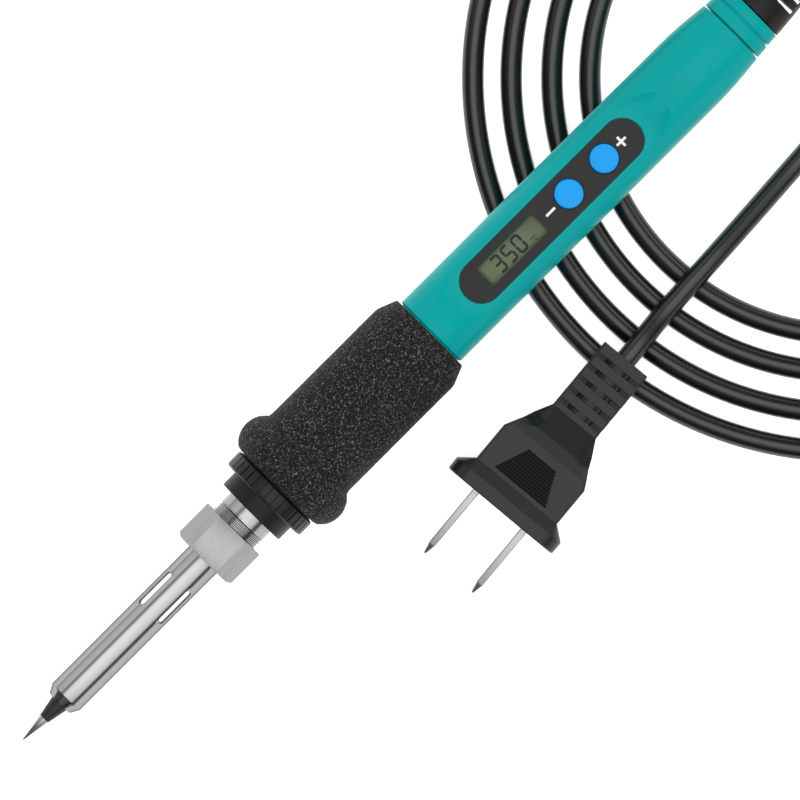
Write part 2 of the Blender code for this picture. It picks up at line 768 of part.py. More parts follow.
def make_shells(holes):
    top = whole_shell("handle_top_shell")
    bottom = whole_shell("handle_bottom_shell")
    far = 2 * HANDLE_R
    combine(bottom, half_space("above_split", -GAP / 2, far))
    combine(top, flat_roof(), "UNION")
    combine(top, dish_cutter())
    middle = PANEL_FRONT + PANEL_LENGTH / 2
    outline = stadium(PANEL_LENGTH + 2 * GAP, PANEL_WIDTH + 2 * GAP, 12)
    recess = plate("panel_recess", outline, DISH_DEPTH, (middle, 0.0, RECESS_Z + DISH_DEPTH / 2))
    combine(top, as_cutter(recess))
    lap = LENS_LAP + GAP
    window = block(
        "window_hole",
        (WINDOW_FRONT - lap, -WINDOW_WIDTH / 2 - lap, FLAT_INNER_Z - OVERCUT),
        (WINDOW_FRONT + WINDOW_LENGTH + lap, WINDOW_WIDTH / 2 + lap, RECESS_Z + OVERCUT),
    )
    combine(top, as_cutter(window))
    for hole in holes:
        combine(top, hole)
    combine(top, half_space("below_split", -far, GAP / 2))
    paint(top, TEAL)
    paint(bottom, TEAL)


def make_panel(holes):
    middle = PANEL_FRONT + PANEL_LENGTH / 2
    where = (middle, 0.0, (PANEL_TOP + PANEL_BASE) / 2)
    panel = plate("display_panel", stadium(PANEL_LENGTH, PANEL_WIDTH, 12), PANEL_T, where)
    opening = block(
        "panel_window",
        (WINDOW_FRONT, -WINDOW_WIDTH / 2, PANEL_BASE - OVERCUT),
        (WINDOW_FRONT + WINDOW_LENGTH, WINDOW_WIDTH / 2, PANEL_TOP + OVERCUT),
    )
    combine(panel, as_cutter(opening))
    for hole in holes:
        combine(panel, hole)
    paint(panel, CHARCOAL)


def make_display():
    middle = WINDOW_FRONT + WINDOW_LENGTH / 2
    lens = block(
        "display_lens",
        (WINDOW_FRONT - LENS_LAP, -WINDOW_WIDTH / 2 - LENS_LAP, RECESS_Z - LENS_T),
        (WINDOW_FRONT + WINDOW_LENGTH + LENS_LAP, WINDOW_WIDTH / 2 + LENS_LAP, RECESS_Z),
    )
    paint(lens, CLEAR)
    half_length, half_width = DISPLAY_LENGTH / 2, DISPLAY_WIDTH / 2
    glass = block(
        "display_glass",
        (middle - half_length, -half_width, DISPLAY_TOP - DISPLAY_T),
        (middle + half_length, half_width, DISPLAY_TOP),
    )
    paint(glass, OLIVE)
    frame = block(
        "display_frame",
        (middle - half_length, -half_width, FRAME_TOP - FRAME_T),
        (middle + half_length, half_width, FRAME_TOP),
    )
    well = block(
        "frame_well",
        (middle - half_length + FRAME_WALL, -half_width + FRAME_WALL, FRAME_TOP - 2 * FRAME_T),
        (middle + half_length - FRAME_WALL, half_width - FRAME_WALL, FRAME_TOP + FRAME_T),
    )
    combine(frame, as_cutter(well))
    paint(frame, WHITE)
    inset = FRAME_WALL + GAP
    strip = block(
        "contact_strip",
        (middle - half_length + inset, half_width - inset - CONTACT_STRIP_WIDTH, BOARD_TOP + GAP),
        (middle + half_length - inset, half_width - inset, FRAME_TOP),
    )
    paint(strip, CHARCOAL)


def make_buttons():
    height = PANEL_TOP + BUTTON_PROUD - BUTTON_RIM_BASE
    half = SWITCH_SIZE / 2
    well_floor = SWITCH_TOP - SWITCH_WELL
    for sign, station in button_centres().items():
        outline = [
            (0.0, 0.0),
            (0.0, BUTTON_R + BUTTON_RIM),
            (BUTTON_RIM_T, BUTTON_R + BUTTON_RIM),
            (BUTTON_RIM_T, BUTTON_R),
            (height - FINE_CHAMFER, BUTTON_R),
            (height, BUTTON_R - FINE_CHAMFER),
            (height, 0.0),
        ]
        cap = turned(f"{sign}_button", outline, 24)
        cap.location = (station, 0.0, BUTTON_RIM_BASE)
        cap.rotation_euler.y = -math.pi / 2
        paint(smooth(cap), BLUE)
        low, high = (station - half, -half, BOARD_TOP + GAP), (station + half, half, SWITCH_TOP)
        switch = block(f"{sign}_switch", low, high)
        well = post(f"{sign}_well", PLUNGER_R + GAP, (station, 0.0), well_floor, SWITCH_TOP + OVERCUT, 16)
        combine(switch, as_cutter(well))
        paint(switch, CHARCOAL)
        foot = well_floor + 2 * GAP
        plunger = post(f"{sign}_plunger", PLUNGER_R, (station, 0.0), foot, BUTTON_RIM_BASE - GAP, 16)
        paint(plunger, WHITE)


def half_room(height, radius=HANDLE_BORE_R):
    """Half the width of the handle's bore at a height over or under the axis."""
    return math.sqrt(radius**2 - height**2)


def make_board():
    reach = min(half_room(BOARD_TOP), half_room(BOARD_BASE)) - GAP
    board = block("main_board", (BOARD_FRONT, -reach, BOARD_BASE), (BOARD_REAR, reach, BOARD_TOP))
    paint(board, BOARD_GREEN)
    top = BOARD_BASE - GAP
    finishes = {"microcontroller": CHARCOAL, "triac": BLACK, "film_capacitor": AMBER}
    for name, (offset, length, half_width, share) in BOARD_PARTS.items():
        start = BOARD_FRONT + offset
        low = top + (PART_MARGIN - half_room(half_width) - top) * share
        paint(block(name, (start, -half_width, low), (start + length, half_width, top)), finishes[name])
    can_r = (half_room(0.0) - PART_MARGIN + top) / 2
    outline = [(0.0, 0.0), (0.0, can_r), (CAN_LENGTH, can_r), (CAN_LENGTH, 0.0)]
    can = turned("smoothing_capacitor", outline, 24)
    can.location = (BOARD_FRONT + CAN_OFFSET, 0.0, top - can_r)
    paint(smooth(can), BLUE)
    for name, side in (("dropper_resistor", -1), ("fuse_resistor", 1)):
        outline = [(0.0, 0.0), (0.0, RESISTOR_R), (RESISTOR_LENGTH, RESISTOR_R), (RESISTOR_LENGTH, 0.0)]
        rod = turned(name, outline, 16)
        rod.location = (BOARD_FRONT + RESISTOR_OFFSET, side * RESISTOR_SIDE, top - RESISTOR_DROP)
        paint(smooth(rod), WHITE)


def make_heater_leads(heater_rear):
    """Two leads feed the heater and two read its sensor. They end over and under the board's edge."""
    start = heater_rear + GAP
    reach = HEATER_LEAD_SPACING / 2
    end = BOARD_FRONT + LEAD_LANDING
    for name, side, level, finish in (
        ("heater_lead_1", -1, 1, RED),
        ("heater_lead_2", 1, 1, RED),
        ("sensor_lead_1", -1, -1, BLUE),
        ("sensor_lead_2", 1, -1, WHITE),
    ):
        pad = BOARD_TOP + GAP if level > 0 else BOARD_BASE - GAP
        height = pad + level * HEATER_LEAD_R
        knots = [
            (start, side * reach, level * reach),
            (start + LEAD_REACH, side * reach, level * reach),
            ((start + end) / 2, side * (reach + LEAD_SPREAD) / 2, level * 2 * reach),
            (end - LEAD_REACH, side * LEAD_SPREAD, height),
            (end, side * LEAD_SPREAD, height),
        ]
        paint(tube(name, smooth_route(knots, 0.004), HEATER_LEAD_R, 1), finish)


def make_tail():
    middle = (TAIL_FRONT + TAIL_REAR) / 2
    groove_r = TAIL_R - TAIL_GROOVE_DEPTH
    outline = [
        (TAIL_FRONT, TAIL_R - FINE_CHAMFER),
        (middle - TAIL_GROOVE / 2, TAIL_R - CHAMFER),
        (middle - TAIL_GROOVE / 2, groove_r),
        (middle + TAIL_GROOVE / 2, groove_r),
        (middle + TAIL_GROOVE / 2, TAIL_R - CHAMFER),
        (TAIL_REAR, TAIL_REAR_R),
        (TAIL_REAR, BOOT_NECK + GAP),
        (TAIL_REAR - TAIL_LIP, BOOT_NECK + GAP),
        (TAIL_REAR - TAIL_LIP, TAIL_BORE_R),
        (TAIL_FRONT, TAIL_BORE_R),
    ]
    paint(turned("tail_ring", outline), TEAL)


def boot_radius(station):
    """The boot's outside: a plain base, then a straight taper to its end."""
    base_end = BOOT_FRONT + BOOT_BASE
    if station <= base_end:
        return TAIL_REAR_R + (BOOT_BASE_R - TAIL_REAR_R) * (station - BOOT_FRONT) / BOOT_BASE
    return BOOT_BASE_R + (BOOT_END_R - BOOT_BASE_R) * (station - base_end) / (BOOT_LENGTH - BOOT_BASE)


def make_boot():
    """Rubber boot with a rim held inside the tail ring. Straight slots through it leave a thin bar on
    each side, so that it bends up and down."""
    rim_rear = TAIL_REAR - TAIL_LIP - GAP
    rim_front = SPIGOT_REAR + GAP
    outline = [
        (rim_front, SPIGOT_R),
        (rim_rear, SPIGOT_R),
        (rim_rear, BOOT_NECK),
        (BOOT_FRONT, BOOT_NECK),
        (BOOT_FRONT, TAIL_REAR_R),
        (BOOT_FRONT + BOOT_BASE, BOOT_BASE_R),
        (BOOT_REAR - CHAMFER, BOOT_END_R),
        (BOOT_REAR, BOOT_END_R - CHAMFER),
        (BOOT_REAR, CORD_HOLE_R),
        (rim_front, CORD_HOLE_R),
    ]
    boot = turned("cord_boot", outline, 24)
    for i in range(BOOT_SLOTS):
        front = BOOT_FRONT + BOOT_BASE + i * BOOT_PITCH
        reach = boot_radius(front + BOOT_SLOT) - BOOT_BAR
        far = BOOT_BASE_R * 2
        slot = block(f"boot_slot_{i + 1}", (front, -reach, -far), (front + BOOT_SLOT, reach, far))
        combine(boot, as_cutter(slot))
    paint(boot, BLACK)


def make_cord_inside():
    """The end of the cord inside the iron, its two cores, and the crimped clamp that stops it from
    being pulled out."""
    outline = [(CORD_FRONT, 0.0), (CORD_FRONT, CORD_R), (BOOT_REAR - GAP, CORD_R), (BOOT_REAR - GAP, 0.0)]
    paint(smooth(turned("cord_in_handle", outline, 16)), BLACK)
    clamp_front = CORD_FRONT + CLAMP_INSET
    clamp_rear = clamp_front + CLAMP_LENGTH
    clamp_r = CORD_HOLE_R + CLAMP_WALL
    outline = [
        (clamp_front, clamp_r),
        (clamp_rear, clamp_r),
        (clamp_rear, CORD_HOLE_R),
        (clamp_front, CORD_HOLE_R),
    ]
    paint(turned("cord_clamp", outline, 24), STEEL)
    pad = BOARD_TOP + GAP + CORE_R
    for name, side, finish in (("live_core", -1, RED), ("neutral_core", 1, BLUE)):
        reach = side * CORE_SPACING / 2
        knots = [
            (CORD_FRONT - GAP, reach, 0.0),
            (CORD_FRONT - LEAD_LANDING * 2 / 3, reach, 0.0),
            (BOARD_REAR + GAP, side * (CORE_SPACING + LEAD_SPREAD) / 2, pad),
            (BOARD_REAR - LEAD_LANDING, side * LEAD_SPREAD, pad),
        ]
        paint(tube(name, smooth_route(knots, 0.0025), CORE_R, 1), finish)


def make_coil():
    """Outer shape of the four loose turns. They lie on the floor, under the iron's tail."""
    inner = COIL_TURN_RADII[-1] - CORD_R
    outer = COIL_TURN_RADII[0] + CORD_R
    bottom, top = -CORD_R, CORD_R
    outline = [(bottom, outer), (top, outer), (top, inner), (bottom, inner)]
    coil = turned("cord_coil", outline, 48, None)
    coil.rotation_euler.y = -math.pi / 2
    coil.location = (*COIL_CENTRE, 0.0)
    paint(smooth(coil), BLACK)


def lying(route):
    """The route with no point lower than a cord on the floor."""
    return [Vector((point.x, point.y, max(point.z, CORD_R))) for point in route]


def make_cord_leads():
    """The two stretches that aren't coiled: from the boot over the turns, and from the inner turn
    across the middle of the coil and over the turns again to the plug."""
    exit_x = BOOT_REAR / 2
    over = 2 * CORD_R + GAP + CORD_R
    from_iron = [
        (exit_x + GAP, 0.0, AXIS_HEIGHT),
        (exit_x + 0.0060, 0.0, AXIS_HEIGHT - 0.0004),
        (0.1347, -0.0006, over + 0.00505),
        (0.1414, -0.0024, over + 0.00355),
        (0.1477, -0.0053, over + 0.00215),
        (0.1533, -0.0092, over + 0.00095),
        (0.1582, -0.0141, over + 0.00015),
        (0.1621, -0.0197, over),
        (0.1650, -0.0259, over),
    ]
    lead = tube("cord_from_iron", lying(smooth_route(from_iron, 0.0045)), CORD_R, 2, None)
    paint(lead, BLACK)
    relief_end = PLUG.matrix_basis @ Vector((plug_length() + GAP, 0.0, 0.0))
    to_plug = [
        (0.1287, 0.0101, CORD_R),
        (0.1306, 0.0009, CORD_R),
        (0.1296, -0.0084, CORD_R),
        (0.1257, -0.0160, CORD_R),
        (0.1196, -0.0218, CORD_R),
        (0.1122, -0.0253, CORD_R),
        (0.1040, -0.0268, CORD_R),
        (0.0900, -0.0277, CORD_R),
        (0.0740, -0.0287, CORD_R + 0.00055),
        (0.0600, -0.0296, over - 0.00235),
        (0.0480, -0.0303, over - 0.00045),
        (0.0400, -0.0307, over),
        (0.0320, -0.0312, over + 0.00055),
        (relief_end.x + 0.0040, relief_end.y + 0.0004, relief_end.z - 0.0004),
        tuple(relief_end),
    ]
    paint(tube("cord_to_plug", lying(smooth_route(to_plug, 0.0060)), CORD_R, 2, None), BLACK)


def plug_length():
    return FLANGE_T + PLUG_SLOPE + PLUG_BODY + PLUG_TAPER + RELIEF_LENGTH


def mirrored(side):
    """A closed outline from its half on the positive side, listed front to rear."""
    return [(x, -y) for x, y in side] + [(x, y) for x, y in reversed(side)]


def make_plug():
    """The moulding is where two outlines meet: its plan, and its side view with the raised grip face."""
    slope_end = FLANGE_T + PLUG_SLOPE
    body_end = slope_end + PLUG_BODY
    relief_front = body_end + PLUG_TAPER
    rear = plug_length()
    plan = mirrored(
        [
            (0.0, FLANGE_WIDTH / 2),
            (FLANGE_T, FLANGE_WIDTH / 2),
            (slope_end, PLUG_WIDTH / 2),
            (body_end, PLUG_WIDTH / 2),
            (relief_front, RELIEF_WIDTH / 2),
            (rear, RELIEF_WIDTH / 2),
        ]
    )
    profile = mirrored(
        [
            (-OVERCUT, FLANGE_HEIGHT / 2),
            (FLANGE_T, FLANGE_HEIGHT / 2),
            (slope_end, PLUG_HEIGHT / 2),
            (body_end + GRIP_END, PLUG_HEIGHT / 2),
            (body_end + GRIP_END + GRIP_SLOPE, (PLUG_HEIGHT + RELIEF_HEIGHT) / 4),
            (relief_front, RELIEF_HEIGHT / 2),
            (rear + OVERCUT, RELIEF_HEIGHT / 2),
        ]
    )
    body = plate("plug_body", plan, FLANGE_HEIGHT + 2 * OVERCUT, parent=PLUG)
    side_view = plate("plug_side_view", profile, FLANGE_WIDTH + 2 * OVERCUT, parent=PLUG)
    side_view.rotation_euler.x = math.pi / 2
    combine(body, as_cutter(side_view), "INTERSECT")
    for i in range(RELIEF_SLOTS):
        front = relief_front + RELIEF_LEAD + i * RELIEF_PITCH
        for side in (-1, 1):
            inner = side * (RELIEF_WIDTH / 2 - RELIEF_SLOT_DEPTH)
            outer = side * RELIEF_WIDTH
            low = (front, min(inner, outer), -RELIEF_HEIGHT)
            high = (front + RELIEF_SLOT, max(inner, outer), RELIEF_HEIGHT)
            name = f"relief_slot_{i + 1}_{'left' if side > 0 else 'right'}"
            combine(body, as_cutter(block(name, low, high, PLUG)))
    for name, side in (("left", 1), ("right", -1)):
        middle = side * BLADE_SPACING / 2
        half_t, half_h = BLADE_T / 2, BLADE_HEIGHT / 2
        pocket = block(
            f"blade_pocket_{name}",
            (-OVERCUT, middle - half_t - GAP, -half_h - GAP),
            (BLADE_ROOT + GAP, middle + half_t + GAP, half_h + GAP),
            PLUG,
        )
        combine(body, as_cutter(pocket))
        side_shape = mirrored(
            [
                (-BLADE_LENGTH, half_h - BLADE_POINT),
                (-BLADE_LENGTH + BLADE_POINT, half_h),
                (BLADE_ROOT, half_h),
            ]
        )
        blade = plate(f"plug_blade_{name}", side_shape, BLADE_T, (0.0, middle, 0.0), PLUG)
        blade.rotation_euler.x = math.pi / 2
        paint(bevel(blade, BLADE_EDGE), NICKEL)
    paint(body, BLACK)


make_tip()
HEATER_REAR = make_heater()
make_sleeve()
make_nut()
make_socket()
make_heater_seat()
make_collar()
make_ring_nut()
make_grip()
BUTTON_HOLES = panel_openings()
make_shells(BUTTON_HOLES)
make_panel(BUTTON_HOLES)
make_display()
make_buttons()
make_board()
make_heater_leads(HEATER_REAR)
make_tail()
make_boot()
make_cord_inside()
make_coil()
make_cord_leads()
make_plug()
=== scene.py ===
import math

import bpy
from mathutils import Matrix, Vector


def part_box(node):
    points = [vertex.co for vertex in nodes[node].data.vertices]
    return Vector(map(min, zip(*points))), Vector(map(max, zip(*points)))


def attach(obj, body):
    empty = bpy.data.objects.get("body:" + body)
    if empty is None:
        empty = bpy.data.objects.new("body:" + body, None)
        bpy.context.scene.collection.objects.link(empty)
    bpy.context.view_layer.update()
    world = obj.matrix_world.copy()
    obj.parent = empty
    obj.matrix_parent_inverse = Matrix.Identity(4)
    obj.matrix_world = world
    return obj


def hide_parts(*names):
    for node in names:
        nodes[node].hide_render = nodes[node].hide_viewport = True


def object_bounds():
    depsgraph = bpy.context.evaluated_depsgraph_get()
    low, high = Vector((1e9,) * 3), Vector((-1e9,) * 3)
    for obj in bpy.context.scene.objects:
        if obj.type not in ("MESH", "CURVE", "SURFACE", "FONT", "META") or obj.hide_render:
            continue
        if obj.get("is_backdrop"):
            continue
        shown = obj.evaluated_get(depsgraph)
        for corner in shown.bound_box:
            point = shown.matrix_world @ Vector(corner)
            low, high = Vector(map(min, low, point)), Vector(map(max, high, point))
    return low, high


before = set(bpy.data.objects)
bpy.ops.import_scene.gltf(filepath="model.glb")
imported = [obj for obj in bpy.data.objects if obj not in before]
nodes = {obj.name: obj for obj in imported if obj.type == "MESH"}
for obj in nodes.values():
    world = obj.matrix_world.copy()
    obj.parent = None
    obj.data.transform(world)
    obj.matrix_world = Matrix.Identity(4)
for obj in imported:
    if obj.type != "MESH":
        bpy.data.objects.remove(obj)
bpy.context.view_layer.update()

# ---------------------------------------------------------------------------------------------
# The bench: a pale sheet under the iron and a camera that looks straight down. The iron's tip
# is at the lower left of the picture and its tail at the upper right.
# ---------------------------------------------------------------------------------------------
grip_low, grip_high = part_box("foam_grip")
AXIS_Z = (grip_low.z + grip_high.z) / 2
POINT_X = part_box("soldering_tip")[0].x
SIGHT = Vector((-0.0181, -0.0054, AXIS_Z))
PICTURE_WIDTH = 0.164
LENS_MM = 500.0

camera_data = bpy.data.cameras.new("camera")
camera_data.lens = LENS_MM
camera_data.clip_start = 0.01
camera = bpy.data.objects.new("camera", camera_data)
away = PICTURE_WIDTH * LENS_MM / camera_data.sensor_width
camera.location = SIGHT + Vector((0.0, 0.0, away))
camera.rotation_euler = (0.0, 0.0, math.radians(-45))
bpy.context.scene.collection.objects.link(camera)
bpy.context.scene.camera = camera
bpy.context.scene.view_settings.view_transform = "Standard"


def seen(red, green, blue):
    """A colour as a screen shows it, from 0 to 255, turned into the light that it stands for."""
    shares = [c / 255 for c in (red, green, blue)]
    return (*[c / 12.92 if c < 0.04 else ((c + 0.055) / 1.055) ** 2.4 for c in shares], 1.0)


def new_material(name, colour, roughness=0.5, metallic=0.0, **sockets):
    material = bpy.data.materials.new(name)
    material.use_nodes = True
    inputs = material.node_tree.nodes["Principled BSDF"].inputs
    inputs["Base Color"].default_value = colour
    inputs["Roughness"].default_value = roughness
    inputs["Metallic"].default_value = metallic
    for socket, value in sockets.items():
        inputs[socket.replace("_", " ")].default_value = value
    return material


def add_node(tree, kind, **settings):
    """A shader node whose settings are its sockets' values or its own properties."""
    made = tree.nodes.new("ShaderNode" + kind)
    for name, value in settings.items():
        socket = name.replace("_", " ")
        if socket in made.inputs:
            made.inputs[socket].default_value = value
        else:
            setattr(made, name, value)
    return made


def wire(tree, source, output, target, socket):
    tree.links.new(source.outputs[output], target.inputs[socket])


def deselect():
    bpy.ops.object.select_all(action="DESELECT")


deselect()
bpy.ops.mesh.primitive_plane_add(size=3.0)
bench = bpy.context.object
bench.name = "bench_sheet"
paper = new_material("paper", seen(246, 246, 246), 0.9)
paper_shader = paper.node_tree.nodes["Principled BSDF"]
paper_shader.inputs["Emission Color"].default_value = (1.0, 1.0, 1.0, 1.0)
paper_shader.inputs["Emission Strength"].default_value = 0.70
paper_place = add_node(paper.node_tree, "TexCoord")
paper_fibre = add_node(paper.node_tree, "TexNoise", Scale=900.0, Detail=4.0)
paper_bump = add_node(paper.node_tree, "Bump", Strength=0.05, Distance=0.0002)
wire(paper.node_tree, paper_place, "Object", paper_fibre, "Vector")
wire(paper.node_tree, paper_fibre, "Fac", paper_bump, "Height")
wire(paper.node_tree, paper_bump, "Normal", paper_shader, "Normal")
bench.data.materials.append(paper)
bench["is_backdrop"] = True

# ---------------------------------------------------------------------------------------------
# The light: a tent of white cloth, brightest overhead. Two dark cards run along the iron, one
# on each side, and draw the dark lines that polished steel needs to look like steel.
# ---------------------------------------------------------------------------------------------
TENT_PEAK, TENT_STRENGTH = 2.0, 2.6
# Angle from straight up, positive towards +Y, and the cloth's brightness there.
TENT_CLOTH = [
    (-96, 0.30), (-88, 1.20), (-76, 1.20), (-71, 0.08), (-56, 0.10), (-48, 1.25), (-20, 1.75),
    (0, 1.95), (20, 1.75), (26, 0.40), (37, 0.40), (43, 1.15), (78, 0.85), (92, 0.30),
]
world = bpy.data.worlds.new("light_tent")
world.use_nodes = True
bpy.context.scene.world = world
tent = world.node_tree
tent_way = add_node(tent, "TexCoord")
tent_parts = add_node(tent, "SeparateXYZ")
tent_angle = add_node(tent, "Math", operation="ARCTAN2")
tent_share = add_node(tent, "MapRange", From_Min=-math.pi, From_Max=math.pi)
tent_cloth = add_node(tent, "ValToRGB")
wire(tent, tent_way, "Generated", tent_parts, 0)
wire(tent, tent_parts, "Y", tent_angle, 0)
wire(tent, tent_parts, "Z", tent_angle, 1)
wire(tent, tent_angle, 0, tent_share, "Value")
wire(tent, tent_share, "Result", tent_cloth, "Fac")
# Towards the iron's two ends the cloth is dark, apart from one small panel behind the cord.
TENT_ENDS = [(-1.0, 0.10), (-0.55, 0.12), (-0.22, 1.0), (0.22, 1.0), (0.45, 0.12), (0.72, 0.12),
             (0.78, 1.0), (0.90, 1.0), (0.95, 0.10), (1.0, 0.10)]
end_share = add_node(tent, "MapRange", From_Min=-1.0, From_Max=1.0)
end_cloth = add_node(tent, "ValToRGB")
tent_whole = add_node(tent, "VectorMath", operation="MULTIPLY")
wire(tent, tent_parts, "X", end_share, "Value")
wire(tent, end_share, "Result", end_cloth, "Fac")
wire(tent, tent_cloth, "Color", tent_whole, 0)
wire(tent, end_cloth, "Color", tent_whole, 1)
wire(tent, tent_whole, 0, tent.nodes["Background"], "Color")
tent.nodes["Background"].inputs["Strength"].default_value = TENT_STRENGTH


def set_stops(ramp, stops):
    """Sets a ramp's stops, given as (place from 0 to 1, grey)."""
    elements = ramp.color_ramp.elements
    for element, (share, grey) in zip([elements[0], elements[1]], (stops[0], stops[-1])):
        element.position = share
        element.color = (grey, grey, grey, 1.0)
    for share, grey in stops[1:-1]:
        elements.new(share).color = (grey, grey, grey, 1.0)


set_stops(tent_cloth, [((angle + 180) / 360, brightness / TENT_PEAK) for angle, brightness in TENT_CLOTH])
set_stops(end_cloth, [((way + 1) / 2, brightness) for way, brightness in TENT_ENDS])

# ---------------------------------------------------------------------------------------------
# The mains cord: one round black vinyl cord from the boot to the plug. Its spare length lies in
# loose turns under the handle, and both of its ends pass over the turns.
# ---------------------------------------------------------------------------------------------
CORD_D = 0.0045
CORD_R = CORD_D / 2
OVER_TURNS = CORD_D + CORD_R + 0.0003
BOOT_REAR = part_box("cord_boot")[1].x
IRON_END = [
    (BOOT_REAR - 0.0003, 0.0, AXIS_Z), (BOOT_REAR + 0.0060, 0.0, AXIS_Z - 0.0004),
    (0.1347, -0.0006, 0.0121), (0.1414, -0.0024, 0.0106), (0.1477, -0.0053, 0.0092),
    (0.1533, -0.0092, 0.0080), (0.1582, -0.0141, 0.0072), (0.1621, -0.0197, OVER_TURNS),
    (0.1650, -0.0259, OVER_TURNS), (0.1668, -0.0326, 0.0062), (0.1674, -0.0394, 0.0047),
    (0.1670, -0.0451, 0.0034), (0.1657, -0.0507, 0.0026),
]
PLUG_END = [
    (0.1287, 0.0101, CORD_R), (0.1306, 0.0009, CORD_R), (0.1296, -0.0084, CORD_R),
    (0.1257, -0.0160, CORD_R), (0.1196, -0.0218, CORD_R), (0.1122, -0.0253, CORD_R),
    (0.1040, -0.0268, CORD_R), (0.0900, -0.0277, CORD_R), (0.0740, -0.0287, 0.0028),
    (0.0600, -0.0296, 0.0047), (0.0480, -0.0303, 0.0066), (0.0400, -0.0307, OVER_TURNS),
    (0.0320, -0.0312, 0.0076),
]
COIL_X, COIL_Y = 0.0939, -0.0235
TURN_RADII = (0.0770, 0.0691, 0.0607, 0.0529)
COIL_START, COIL_END = -25, 68 - 4 * 360
STEP_FROM, STEP_OVER = -245, 150
LOOP_X, LOOP_Y, LOOP_R = 0.1036, 0.0005, 0.0270
PLUG_FRONT = Vector((-0.0197, -0.0360, 0.0090))
PLUG_TURN = math.radians(5.2)
PLUG_LENGTH = 0.0405
PLUG_WAY = Vector((math.cos(PLUG_TURN), math.sin(PLUG_TURN), 0.0))


def turn_radius(degrees):
    """Each turn is a true circle on the side under the handle, and steps in on the far side."""
    radius = TURN_RADII[0]
    for number, (outer, inner) in enumerate(zip(TURN_RADII, TURN_RADII[1:])):
        share = (STEP_FROM - 360 * number - degrees) / STEP_OVER
        share = min(1.0, max(0.0, share))
        radius += (inner - outer) * share * share * (3 - 2 * share)
    return radius


def coil_turns():
    turns = []
    for degrees in range(COIL_START, COIL_END - 1, -9):
        angle, radius = math.radians(degrees), turn_radius(degrees)
        turns.append((COIL_X + radius * math.cos(angle), COIL_Y + radius * math.sin(angle), CORD_R))
    return turns


def inner_loop():
    """The round bend from the innermost turn back towards the plug."""
    bend = []
    for degrees in (59, 46, 33):
        angle = math.radians(degrees)
        bend.append((LOOP_X + LOOP_R * math.cos(angle), LOOP_Y + LOOP_R * math.sin(angle), CORD_R))
    return bend


def smooth_line(knots, spacing):
    """Points at even steps along a centripetal Catmull-Rom curve, none lower than the bench lets
    the cord lie."""
    knots = [Vector(k) for k in knots]
    knots = [2 * knots[0] - knots[1], *knots, 2 * knots[-1] - knots[-2]]
    fine = []
    for a, b, c, d in zip(knots, knots[1:], knots[2:], knots[3:]):
        t1 = math.sqrt((b - a).length)
        t2 = t1 + math.sqrt((c - b).length)
        t3 = t2 + math.sqrt((d - c).length)
        for i in range(24):
            t = t1 + (t2 - t1) * i / 24
            ab = a.lerp(b, t / t1)
            bc = b.lerp(c, (t - t1) / (t2 - t1))
            cd = c.lerp(d, (t - t2) / (t3 - t2))
            fine.append(ab.lerp(bc, t / t2).lerp(bc.lerp(cd, (t - t1) / (t3 - t1)),
                                                 (t - t1) / (t2 - t1)))
    fine.append(knots[-2])
    line, since = [fine[0]], 0.0
    for start, end in zip(fine, fine[1:]):
        since += (end - start).length
        if since >= spacing:
            line.append(end)
            since = 0.0
    if since > 0:
        line.append(fine[-1])
    return [Vector((p.x, p.y, max(p.z, CORD_R))) for p in line]


relief_end = PLUG_FRONT + PLUG_WAY * PLUG_LENGTH
PLUG_ENTRY = [tuple(relief_end + PLUG_WAY * 0.0040), tuple(relief_end - PLUG_WAY * 0.0030)]
cord_line = smooth_line(IRON_END + coil_turns() + inner_loop() + PLUG_END + PLUG_ENTRY, 0.0022)
sheath = bpy.data.curves.new("mains_cord", "CURVE")
sheath.dimensions = "3D"
sheath.bevel_depth = CORD_R
sheath.bevel_resolution = 8
sheath.use_fill_caps = True
strand = sheath.splines.new("POLY")
strand.points.add(len(cord_line) - 1)
for point, where in zip(strand.points, cord_line):
    point.co = (*where, 1.0)
mains_cord = bpy.data.objects.new("mains_cord", sheath)
bpy.context.scene.collection.objects.link(mains_cord)


def new_group(name, inputs, outputs):
    """A shader node group with its sockets, given as name, kind and value."""
    group = bpy.data.node_groups.new(name, "ShaderNodeTree")
    for label, kind, value in inputs:
        socket = group.interface.new_socket(name=label, in_out="INPUT", socket_type=kind)
        socket.default_value = value
    for label, kind in outputs:
        group.interface.new_socket(name=label, in_out="OUTPUT", socket_type=kind)
    return group, group.nodes.new("NodeGroupInput"), group.nodes.new("NodeGroupOutput")


